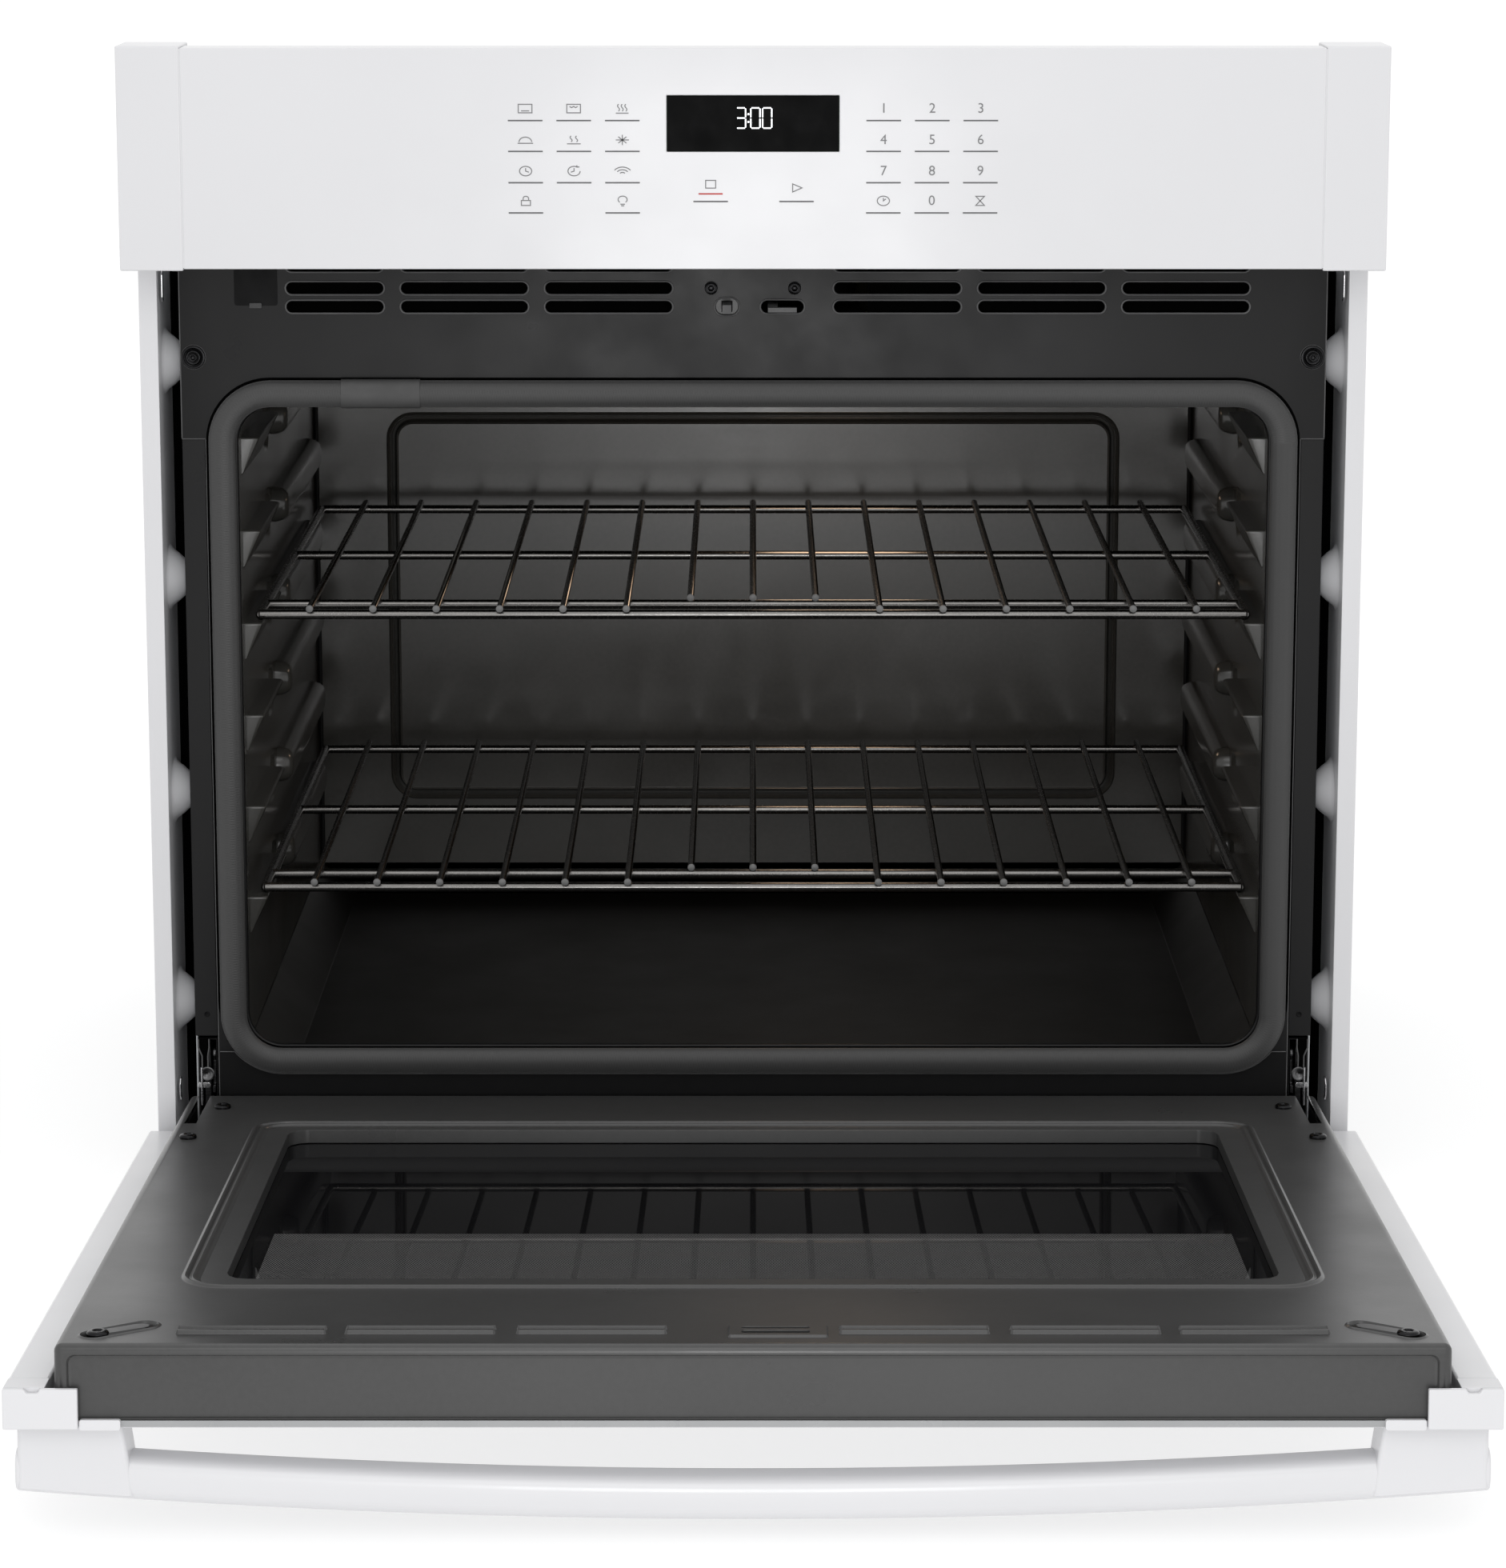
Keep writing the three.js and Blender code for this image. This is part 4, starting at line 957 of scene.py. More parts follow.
def washer_screw(radius=7.3):
    r = radius
    return button(
        "washer screw",
        [(r, -0.3), (r, 0.7), (r * 0.95, 1.2), (r * 0.82, 1.4), (r * 0.76, 1.0), (r * 0.7, 0.9),
         (r * 0.66, 1.6), (r * 0.56, 2.4), (r * 0.48, 2.5), (r * 0.44, 1.9), (r * 0.38, 1.9), (r * 0.34, 2.9), (r * 0.28, 3.1),
         (star(r * 0.2), 3.1), (star(r * 0.18), 2.0), (r * 0.05, 1.9)],
    )


# ---- Body ----


def bead(u0, u1, v0, v1, height):
    half = min(u1 - u0, v1 - v0) / 2
    return pressing(u0, u1, v0, v1, half, ramp(0.0, 0.0, half * 0.6, height), 4), False


def pressed_sheet(place, outline, features):
    """A flat sheet with its pressings, as an open shell."""
    shell = Shell(place)
    u0, u1, v0, v1 = outline
    radius = 1.5
    inner = rounded(u0 + GUARD, u1 - GUARD, v0 + GUARD, v1 - GUARD, radius)
    rim = shell.ring([(u, v, 0.0) for u, v in inner])
    edge = shell.ring([(u, v, 0.0) for u, v in rounded(u0, u1, v0, v1, radius + 0.3)])
    shell.bridge(rim, edge)
    press(shell, rim, features)
    return shell


def build_body():
    s = sizes()
    bead_height = s.bead_height / MM
    edge = s.sheet_edge / MM
    copy_of("base_pan", "base_pan_sheet", "zinc", edge)

    depth = TOP[0].y, TOP[1].y
    beads = []
    for x in (-250, -150, -50, 50, 150):
        beads.append(bead(x - 9, x + 9, depth[0] + 70, depth[1] - 130, bead_height))
    lid = (TOP[0].x, TOP[1].x, *depth)
    shell = pressed_sheet(lambda u, v, w: Vector((u, v, TOP[1].z + w)), lid, beads)
    piece("top_cover_sheet", shell.mesh("top cover", thickness=SHEET), "zinc", nodes=("top_cover",))

    for side, word in ((-1, "left"), (1, "right")):
        low, high = SIDE[0].z, SIDE[1].z
        back = SIDE[1].y
        front = SIDE[0].y + 3
        rise = bead_height * 0.6
        ribs = [bead(back - y, back - y + 20, low + 90, high - 90, rise) for y in (410, 280, 150)]
        ribs.append(bead(front + 90, back - 30, high - 60, high - 42, rise))
        place = (lambda k: lambda u, v, w: Vector((k * (BODY_HALF + w), u, v)))(side)
        shell = pressed_sheet(place, (front, back, low, high), ribs)
        name = "side_panel_sheet_" + word
        piece(name, shell.mesh(name, thickness=SHEET), "zinc")
        rail = Shell()
        rail_inner = BODY_HALF - 13.8
        pocket = rail_foot()
        outline = [
            (side * rail_inner, SIDE[0].y), (side * BODY_HALF, SIDE[0].y), (side * BODY_HALF, front),
            (side * (BODY_HALF - SHEET), front), (side * (BODY_HALF - SHEET), SIDE[0].y + SHEET),
            (side * (rail_inner + SHEET), SIDE[0].y + SHEET), (side * (rail_inner + SHEET), SIDE[0].y + 5),
            (side * rail_inner, SIDE[0].y + 5),
        ]
        prism(rail, outline, pocket, high)
        name = "side_rail_" + word
        piece(name, rail.mesh(name, edge * MM), "black", nodes=("side_panel_" + word,))

    shell = Shell(lambda u, v, w: Vector((u, BACK[1].y + w, v)))
    outline = shell.ring([(u, v, 0.0) for u, v in rounded(BACK[0].x, BACK[1].x, BACK[0].z, BACK[1].z, 2)])
    ribs = [bead(x - 10, x + 10, BACK[0].z + 70, BACK[0].z + 430, -bead_height) for x in (-220, -75, 75, 220)]
    slots = []
    for rise in (568, 586, 604):
        for i in range(-2, 3):
            slots.append((pressing(i * 95 - 35, i * 95 + 35, rise, rise + 6, 3, [(0.3, -0.5)], 3), True))
    press(shell, outline, [*ribs, *slots])
    piece("back_panel_sheet", shell.mesh("back panel", thickness=SHEET), "zinc", nodes=("back_panel",))
    hood = Shell()
    arc = [(-37.0, 0.0), (-37.0, 8.6), (37.0, 8.6), (37.0, 0.0)]
    hood.loft([[(x, -0.2, z) for x, z in arc], [(x * 0.985, 2.6, z * 0.9 + 0.2) for x, z in arc],
               [(x * 0.93, 3.6, z * 0.55 + 0.2) for x, z in arc]])
    places = [(i * 95.0, BACK[1].y, rise - 2.0) for rise in (568, 586, 604) for i in range(-2, 3)]
    for row_index in range(3):
        first = places[row_index * 5]
        row(f"back_louvres_{row_index + 1}", hood.mesh("louvre", 0.3 * MM), "zinc", 5, first, (95.0, 0, 0))

    screws = []
    turns = []
    for x in (-320, -107, 107, 320):
        screws += [(x, BACK[1].y, BACK[0].z + 14), (x, BACK[1].y, BACK[1].z - 14)]
        turns += [REAR, REAR]
    for z in (180, 340, 500):
        for x in (-330, 330):
            screws.append((x, BACK[1].y, z))
            turns.append(REAR)
    for side, turn in ((-1, (0.0, -90.0, 0.0)), (1, (0.0, 90.0, 0.0))):
        for y in (60, 230, 400, 560):
            for z in (26, 660):
                screws.append((side * BODY_HALF, y, z))
                turns.append(turn)
    scatter("body_screws", hex_screw(), "zinc", screws, turns)
    lids = [(x, y, TOP[1].z) for x in (-320, -107, 107, 320) for y in (TOP[0].y + 16, TOP[1].y - 16)]
    scatter("top_screws", star_screw(3.6, 0.9), "zinc", lids, [UP] * 8)

    plate = Shell(lambda u, v, w: Vector((u, BACK[1].y + w, v)))
    prism(plate, rounded(150, 260, 500, 548, 2), -0.2, 0.4)
    piece("blank_data_plate", plate.mesh("data plate", 0.15 * MM), "plate")
    cover = Shell(lambda u, v, w: Vector((u, BACK[1].y + w, v)))
    prism(cover, rounded(-250, -130, 622, 676, 4), -0.3, 9.0)
    piece("terminal_cover", cover.mesh("terminal cover", 1.2 * MM, 3), "zinc")
    copy_of("bottom_trim", "bottom_trim_sheet", "white", edge)
    copy_of("conduit_gland", "conduit_gland_ring", "zinc", 0.6)


def rail_foot():
    """Height of the lower end of the rails, over the hinge pockets."""
    return corners("hinge_receiver_right")[1].z + 2.0


# ---- Front frame ----

VENT_HEIGHTS = (591.4, 577.6, 566.2)
SLOT_RIM = [(0.0, 0.0), (0.3, 0.35), (0.8, 0.45), (1.2, 0.2), (1.3, -1.0)]


def slot_feature(u, v, length, height):
    outline = u - length / 2 - 1.2, u + length / 2 + 1.2, v - height / 2 - 1.2, v + height / 2 + 1.2
    return pressing(*outline, height / 2 + 1.2, SLOT_RIM, 6), True


def build_front():
    low, high = FRAME
    waist = 335.0
    shoulder = 485.0
    shell = Shell(lambda u, v, w: Vector((u, FRAME_FRONT - w, v)))
    outline = [
        (-waist, low.z), (waist, low.z), (waist, shoulder), (BODY_HALF, shoulder), (BODY_HALF, high.z),
        (-BODY_HALF, high.z), (-BODY_HALF, shoulder), (-waist, shoulder),
    ]
    rim = shell.ring([(u, v, 0.0) for u, v in outline])
    mouth_low, mouth_high = 100.5, 505.2
    features = []
    lip = [(0.4, -0.15), (0.9, -0.8), (1.1, -2.4)]
    mouth = pressing(-CAVITY_HALF, CAVITY_HALF, mouth_low, mouth_high, 22, lip, 10)
    features.append((mouth, True))
    for height in VENT_HEIGHTS:
        for k in (1, 2, 3):
            for side in (-1, 1):
                cut = 18 if side < 0 and k == 3 else 0
                features.append(slot_feature(side * 87.8 * k + cut / 2, height, 77 - cut, 7))
    features.append(slot_feature(17.9, 566.2, 25.8, 7.4))
    features.append(slot_feature(-15.85, 566.2, 13.9, 9.9))
    press(shell, rim, features)
    piece("front_frame_sheet", shell.mesh("front frame", thickness=SHEET), "black", nodes=("front_frame",))

    y = FRAME_FRONT - 0.25
    rows = VENT_HEIGHTS
    long_slots = [(87.8 * k, y, z) for k in (-2, -1, 1, 2, 3) for z in rows]
    # The beads round the slots are raised; their lighter grey is a painted highlight.
    rims("vent_rims_long", long_slots, 78.2, 8.2, 0.55, "rim")
    rims("vent_rims_short", [(-254.4, y, z) for z in rows], 60.2, 8.2, 0.55, "rim")
    rims("lock_slot_rim", [(17.9, y, 566.2)], 27.0, 8.6, 0.55, "rim")
    rims("switch_hole_rim", [(-15.85, y, 566.2)], 15.0, 11.0, 0.55, "rim")
    # Thin lighter rods along the frame's edges: painted highlights on them.
    edges = Shell()
    edge_y = FRAME_FRONT + 0.35
    for k in (-1, 1):
        for x, z0, z1 in ((BODY_HALF - 0.2, shoulder + 0.5, high.z), (waist - 0.2, low.z, shoulder - 0.5)):
            tube_mesh(edges, [(k * x, edge_y, z0), (k * x, edge_y, z1)], 0.45, 8)
        tube_mesh(edges, [(k * waist, edge_y, shoulder), (k * BODY_HALF, edge_y, shoulder)], 0.4, 8)
    piece("frame_edges", edges.mesh("frame edges"), "rim")
    # A flat near-black ring round the gasket's outer edge: a painted shadow line beside the gasket.
    recess = Shell(lambda u, v, w: Vector((u, FRAME_FRONT - w, v)))
    out, rise = GASKET[1].x + 2.0, GASKET[1].z + 1.1
    outer = rounded(-out, out, GASKET[0].z + 6, rise, 39.5, 12)
    inner = rounded(-out + 12, out - 12, GASKET[0].z + 16, rise - 12, 30, 12)
    levels = ((outer, -0.1), (outer, 0.12), (inner, 0.12), (inner, -0.1))
    made = [recess.ring([(u, v, w) for u, v in loop]) for loop, w in levels]
    for a, b in zip(made, made[1:]):
        recess.bridge(a, b)
    piece("gasket_recess", recess.mesh("gasket recess"), "painted shade")

    label = Shell(lambda u, v, w: Vector((u, FRAME_FRONT - w, v)))
    prism(label, rounded(-315.7, -289.4, 566.9, 598, 1.6), 0.0, 0.5)
    piece("blank_label", label.mesh("label", 0.15 * MM), "label")
    tab = Shell(lambda u, v, w: Vector((u, FRAME_FRONT - w, v)))
    prism(tab, rounded(-306.5, -299.0, 565.3, 568.6, 0.6), 0.4, 1.3)
    piece("label_tab", tab.mesh("tab", 0.2 * MM), "plastic")

    plate = Shell(lambda u, v, w: Vector((u, FRAME_FRONT - w, v)))
    half = GASKET[1].x + 1.2
    foot, corner_top = low.z, 97.0
    radius = 39.0
    centre = GASKET[1].x - 38.4, GASKET[0].z + 38.4
    curve = []
    for i in range(13):
        a = math.radians(-90 + i * 3.9)
        curve.append((centre[0] + (radius + 0.8) * math.cos(a), centre[1] + (radius + 0.8) * math.sin(a)))
    outline = [(half, foot), (half, corner_top), (curve[-1][0] + 1.5, corner_top), *reversed(curve)]
    outline = outline + [(-u, v) for u, v in reversed(outline)]
    prism(plate, outline, 0.0, 1.2)
    piece("lower_cover_plate", plate.mesh("lower plate", 0.3 * MM), "label")
    # A thin lighter rod along the lower plate's edge: a painted highlight.
    line = Shell()
    front = FRAME_FRONT - 1.2
    path = [(half, front, corner_top), (curve[-1][0] + 1.5, front, corner_top)]
    path += [(u, front, v) for u, v in reversed(curve)]
    path += [(-u, y, v) for u, y, v in reversed(path)]
    tube_mesh(line, path, 0.35, 6)
    piece("lower_plate_edge", line.mesh("plate edge", angle=70), "rim")

    # Near-black slats behind the vent slots: painted shade for the dark seen through them.
    vent_shade = Shell()
    for x0, x1 in ((-306, -46), (70, 306)):
        for z in (560.5, 572.0, 583.5):
            slat = ((10.0, z), (10.8, z), (15.8, z + 10.6), (15.0, z + 10.8))
            vent_shade.loft([[(x, y, rise) for y, rise in slat] for x in (x0, x1)])
    piece("vent_baffles", vent_shade.mesh("vent baffles", 0.2 * MM), "painted shade")

    y = FRAME_FRONT
    inner_pair = [(-25.5, y, 577.6), (25.3, y, 577.6)]
    outer_pair = [(-341.3, y, 535.2), (341.3, y, 535.2)]
    scatter("frame_star_screws", star_screw(3.9), "screw", inner_pair, [FRONT] * 2)
    scatter("frame_washer_screws", washer_screw(), "screw", outer_pair, [FRONT] * 2)
    # The collars round the screws are raised; their lighter grey is a painted highlight.
    scatter("star_screw_rings", collar(4.1), "rim", inner_pair, [FRONT] * 2)
    scatter("washer_rings", collar(7.4), "rim", outer_pair, [FRONT] * 2)
    pin = button("rail pin", [(1.9, -0.2), (1.9, 0.15), (1.5, 0.25), (1.3, 0.05), (0.2, 0.0)], 16)
    rail_y = SIDE[0].y
    scatter("rail_rivets", pin, "label", [(-342.0, rail_y, 120.5), (342.0, rail_y, 120.5)], [FRONT] * 2)


def build_trims():
    trim_face = TRIM[1].x - 11.3
    for side, word in ((-1, "left"), (1, "right")):
        shell = Shell()
        outer, inner = side * TRIM[1].x, side * trim_face
        outline = [
            (outer, TRIM[0].y), (outer, 0.0), (inner + side * SHEET, 0.0), (inner + side * SHEET, TRIM[1].y),
            (inner, TRIM[1].y), (inner, TRIM[0].y),
        ]
        prism(shell, outline, TRIM[0].z, TRIM[1].z)
        name = "side_trim_sheet_" + word
        piece(name, shell.mesh(name, 0.5 * MM, 3), "white")
        reach = trim_face - BODY_HALF - GAP
        bump = Shell(lambda u, v, w, k=side, f=trim_face: Vector((k * (f - w), 32.5 + u, v)))
        profile = [(21.5, -0.3), (20.5, 0.0), (19.2, 0.6), (17.5, 2.0), (15.0, reach * 0.45),
                   (12.0, reach * 0.72), (10.0, reach * 0.9), (8.0, reach * 0.98), (5.0, reach), (0.3, reach)]
        bump.loft([[(u, v, w) for u, v in circle(r, 32)] for r, w in profile])
        mesh = bump.mesh("spacer")
        name = "trim_spacers_" + word
        row(name, mesh, "white", 4, (0, 0, 124.0), (0, 0, 135.3), nodes=("side_trim_" + word,))
        # A near-black strip closing the gap between trim and body: painted shade for the gap's dark depth.
        strip = Shell()
        near, far = side * (BODY_HALF + 0.4), side * (trim_face - 0.3)
        ends = TRIM[0].z + 1, TRIM[1].z - 0.5
        y0, y1 = TRIM[1].y - 8, TRIM[1].y
        prism(strip, [(near, y0), (far, y0), (far, y1), (near, y1)], *ends)
        piece("trim_seal_" + word, strip.mesh("trim seal", 1.5 * MM, 3), "painted shade")
        clip = Shell()
        x0, x1 = sorted((side * (trim_face - 2.6), side * (trim_face - 1.6)))
        for z0, z1 in ((65, 79), (569, 589)):
            clip.loft([[(x0, y0, z), (x1, y0, z), (x1, y0 + 5, z), (x0, y0 + 5, z)] for y0, z in
                       ((8, z0), (5, z0 + 3), (5, z1 - 3), (8, z1))])
        piece("trim_clips_" + word, clip.mesh("clips", 0.3 * MM), "steel")


# ---- Control panel ----


def ribbon(shell, points, width, height, closed=False):
    """A flat stroke of that width along (u, v) points."""
    pts = [Vector(p) for p in points]
    count = len(pts)
    left, right = [], []
    for i, p in enumerate(pts):
        steps = []
        if i or closed:
            steps.append((p - pts[i - 1]).normalized())
        if i < count - 1 or closed:
            steps.append((pts[(i + 1) % count] - p).normalized())
        normals = [Vector((-d.y, d.x)) for d in steps]
        n = sum(normals, Vector((0, 0))).normalized()
        reach = width / 2 / max(0.4, n.dot(normals[0]))
        left.append(p + n * reach)
        right.append(p - n * reach)
    for i in range(count if closed else count - 1):
        j = (i + 1) % count
        outline = [left[i], right[i], right[j], left[j]]
        prism(shell, [tuple(q) for q in outline], 0.0, height)


def arc(u, v, radius, start, end, steps=8):
    return [
        (u + radius * math.cos(math.radians(start + (end - start) * i / steps)),
         v + radius * math.sin(math.radians(start + (end - start) * i / steps)))
        for i in range(steps + 1)
    ]


def wave(u, v, height, swing=0.45):
    return [(u + swing * math.sin(i / 8 * 2 * math.pi), v + height * (i / 8 - 0.5)) for i in range(9)]


# Strokes of each key's mark in a square 6 mm wide: lists of (u, v), closed if the last point is the first.
BOX = [(-3, -2.4), (3, -2.4), (3, 2.4), (-3, 2.4), (-3, -2.4)]
RING = arc(0, 0, 2.7, 0, 360, 20)
MARKS = {
    "bake": [BOX, [(-1.8, -1.3), (1.8, -1.3)]],
    "broil": [BOX, [(-1.8, 1.2), (-0.9, 0.5), (0, 1.2), (0.9, 0.5), (1.8, 1.2)]],
    "steam": [wave(-1.6, 0.5, 4), wave(0, 0.5, 4), wave(1.6, 0.5, 4), [(-2.8, -2.6), (2.8, -2.6)]],
    "proof": [arc(0, -1.2, 2.8, 0, 180, 12), [(-3.4, -1.9), (3.4, -1.9)]],
    "warm": [wave(-1.2, 0.6, 3.4), wave(1.2, 0.6, 3.4), [(-3, -2.2), (3, -2.2)]],
    "clean": [
        [(0, 2.9), (0, -2.9)], [(-2.9, 0), (2.9, 0)], [(-1.8, 1.8), (1.8, -1.8)], [(-1.8, -1.8), (1.8, 1.8)],
    ],
    "time": [RING, [(0, 1.7), (0, 0), (1.4, -0.6)]],
    "delay": [
        arc(0, 0, 2.7, 60, 360, 18), [(0, 1.7), (0, 0), (-1.4, -0.6)], [(1.2, 3.3), (1.35, 2.3), (2.4, 2.4)],
    ],
    "remote": [arc(0, -2, 1.3, 35, 145, 5), arc(0, -2, 2.8, 35, 145, 8), arc(0, -2, 4.3, 35, 145, 10)],
    "lock": [
        [(-2, -2.6), (2, -2.6), (2, 0.2), (-2, 0.2), (-2, -2.6)],
        [(-1.2, 0.5), *arc(0, 1.4, 1.2, 180, 0, 8), (1.2, 0.5)],
    ],
    "light": [arc(0, 0.7, 2.0, -50, 230, 14), [(-1.0, -1.9), (1.0, -1.9)], [(-0.7, -2.8), (0.7, -2.8)]],
    "stop": [[(-2.2, -2.2), (2.2, -2.2), (2.2, 2.2), (-2.2, 2.2), (-2.2, -2.2)]],
    "start": [[(-1.7, -2.3), (2.4, 0), (-1.7, 2.3), (-1.7, -2.3)]],
    "clock": [RING, [(0, 1.7), (0, 0), (1.1, 1.1)]],
    "timer": [[(-1.9, 2.6), (1.9, 2.6), (-1.9, -2.6), (1.9, -2.6), (-1.9, 2.6)]],
}
MARK_WIDTH, MARK_HEIGHT = 1.35, 1.05
COLUMNS = (-135.2, -106.4, -77.6, 77.6, 106.4, 135.2)
LINE_HEIGHTS = (683.0, 664.7, 646.1, 628.1)
MARK_HEIGHTS = (690.1, 671.5, 653.0, 635.3)
LEFT_KEYS = (
    ("bake", "broil", "steam"), ("proof", "warm", "clean"), ("time", "delay", "remote"), ("lock", None, "light"),
)
RIGHT_KEYS = (("1", "2", "3"), ("4", "5", "6"), ("7", "8", "9"), ("clock", "0", "timer"))


def face_place(out):
    """Places (u, v, w) on the panel's face, w outwards."""
    return lambda u, v, w: Vector((u, PANEL_FRONT - out - w, v))


def build_panel():
    s = sizes()
    copy_of("control_panel", "control_panel_face", "white", s.panel_edge / MM, segments=3)
    copy_of("display_window", "display_glass", "display", 0.25)
    copy_of("control_tray", "control_tray_sheet", "zinc", 0.3)
    copy_of("control_board", "control_board_plate", "circuit", 0.2)
    for word in ("left", "right"):
        copy_of("panel_end_cap_" + word, "panel_cap_" + word, "white", s.cap_edge / MM, segments=3)

    seams = Shell()
    for k in (-1, 1):
        x0, x1 = k * 339.5, k * 340.3
        y0, y1 = PANEL_FRONT + 0.35, PANEL_FRONT + 12
        outline = [(x0, y0), (x1, y0), (x1, y1), (x0, y1)]
        prism(seams, outline, PANEL[0].z + 0.6, PANEL[1].z - 0.6)
    piece("panel_seams", seams.mesh("panel seams"), "white")

    ink = s.ink_height / MM
    stroke = s.mark_stroke / MM
    marks = Shell(face_place(0.0))
    digits = []
    lines = []
    for r in range(4):
        for c in range(3):
            for key, column in ((LEFT_KEYS[r][c], COLUMNS[c]), (RIGHT_KEYS[r][c], COLUMNS[c + 3])):
                if key is None:
                    continue
                if not (r == 3 and key == "0"):
                    lines.append((column, PANEL_FRONT, LINE_HEIGHTS[r]))
                if key in MARKS:
                    draw(marks, MARKS[key], column, MARK_HEIGHTS[r], stroke, ink)
                else:
                    digits.append((key, column, MARK_HEIGHTS[r]))
    draw(marks, MARKS["stop"], -25.2, 645.2, stroke, ink)
    draw(marks, MARKS["start"], 25.9, 643.0, stroke, ink)
    lines += [(-25.2, PANEL_FRONT, 634.9), (25.9, PANEL_FRONT, 634.9), (106.4, PANEL_FRONT, LINE_HEIGHTS[3])]
    piece("key_marks", marks.mesh("key marks"), "key mark")

    line = Shell()
    prism(line, rounded(-10.3, 10.3, -0.45, 0.45, 0.1, 1), 0.0, ink)
    scatter("key_lines", line.mesh("key line"), "key line", lines, [FRONT] * len(lines))
    red = Shell(face_place(0.0))
    prism(red, rounded(-32.4, -18.0, 639.0, 639.9, 0.1, 1), 0.0, ink)
    piece("stop_key_line", red.mesh("stop line"), "stop line")

    join = []
    for key, u, v in digits:
        join.append(letter_mesh(key, u, v, 6.4, ink))
    piece("key_digits", merged("key digits", join), "key mark")

    clock = Shell(face_place(0.0))
    for u, shown in ((-7.1, "abcdg"), (1.4, "abcdef"), (8.4, "abcdef")):
        segments(clock, u, 684.5, 5.4, 12.0, shown, ink)
    for v in (682.2, 686.8):
        prism(clock, rounded(-3.3, -2.2, v - 0.55, v + 0.55, 0.2, 2), 0.0, ink)
    piece("clock_segments", clock.mesh("clock segments"), "segments")


def draw(shell, strokes, u, v, width, height):
    for points in strokes:
        placed = [(u + a * MARK_WIDTH, v + b * MARK_HEIGHT) for a, b in points]
        closed = placed[0] == placed[-1]
        ribbon(shell, placed[:-1] if closed else placed, width, height, closed)


def segments(shell, u, v, width, height, shown, ink):
    """Seven thin segments of a clock digit, those named lit."""
    w, h, t = width / 2, height / 2, 0.38
    gap = 0.35
    bars = {
        "a": (-w + gap, w - gap, h - t, h + t), "d": (-w + gap, w - gap, -h - t, -h + t),
        "g": (-w + gap, w - gap, -t, t),
        "b": (w - t, w + t, gap, h - gap), "c": (w - t, w + t, -h + gap, -gap),
        "f": (-w - t, -w + t, gap, h - gap), "e": (-w - t, -w + t, -h + gap, -gap),
    }
    for key in shown:
        u0, u1, v0, v1 = bars[key]
        prism(shell, rounded(u + u0, u + u1, v + v0, v + v1, 0.15, 1), 0.0, ink)


def letter_mesh(text, u, v, size, height):
    """A digit as a thin mesh on the panel's face."""
    curve = bpy.data.curves.new("digit " + text, "FONT")
    curve.body = text
    curve.size = size * 1.3 * MM
    curve.align_x = "CENTER"
    curve.align_y = "CENTER"
    curve.extrude = height * MM / 2
    curve.resolution_u = 4
    obj = bpy.data.objects.new("digit " + text, curve)
    bpy.context.collection.objects.link(obj)
    mesh = baked(obj)
    bpy.data.curves.remove(curve)
    middle = Vector((u, PANEL_FRONT - height / 2, v)) * MM
    mesh.transform(Matrix.Translation(middle) @ Matrix.Rotation(math.pi / 2, 4, "X"))
    return mesh


def merged(name, meshes):
    bm = bmesh.new()
    for mesh in meshes:
        bm.from_mesh(mesh)
        bpy.data.meshes.remove(mesh)
    bmesh.ops.remove_doubles(bm, verts=bm.verts, dist=1e-7)
    return finished(bm, name, 0.0)


# ---- Cavity ----

GUIDE_TOPS = [190.0 + 58.4 * i for i in range(6)]
GUIDE_HEIGHT = 24.0


def ledge_feature(top, y0, y1):
    """A shelf guide pressed in, flat on top and sloping away below."""
    low = top - GUIDE_HEIGHT
    loops = []
    for inset, share in ((-GUARD, 0.0), (0.0, 0.0), (0.25, 0.72), (0.9, 0.93), (2.0, 1.0)):
        loop = []
        for u, v in rounded(y0 + inset, y1 - inset, low + inset, top - inset * 0.5, 1.4, 3):
            reach = share * 10.8 * max(0.0, min(1.0, (v - low) / 22.0))
            loop.append((u, v, reach if inset > 0 else 0.0))
        loops.append(loop)
    return loops, False


def rib_feature(top, y0, y1):
    profile = [(0.5, 3.4), (1.4, 6.6), (3.0, 9.0), (5.0, 10.3), (8.0, 10.9)]
    return pressing(y0, y1, top - GUIDE_HEIGHT, top, 11, profile, 5), False


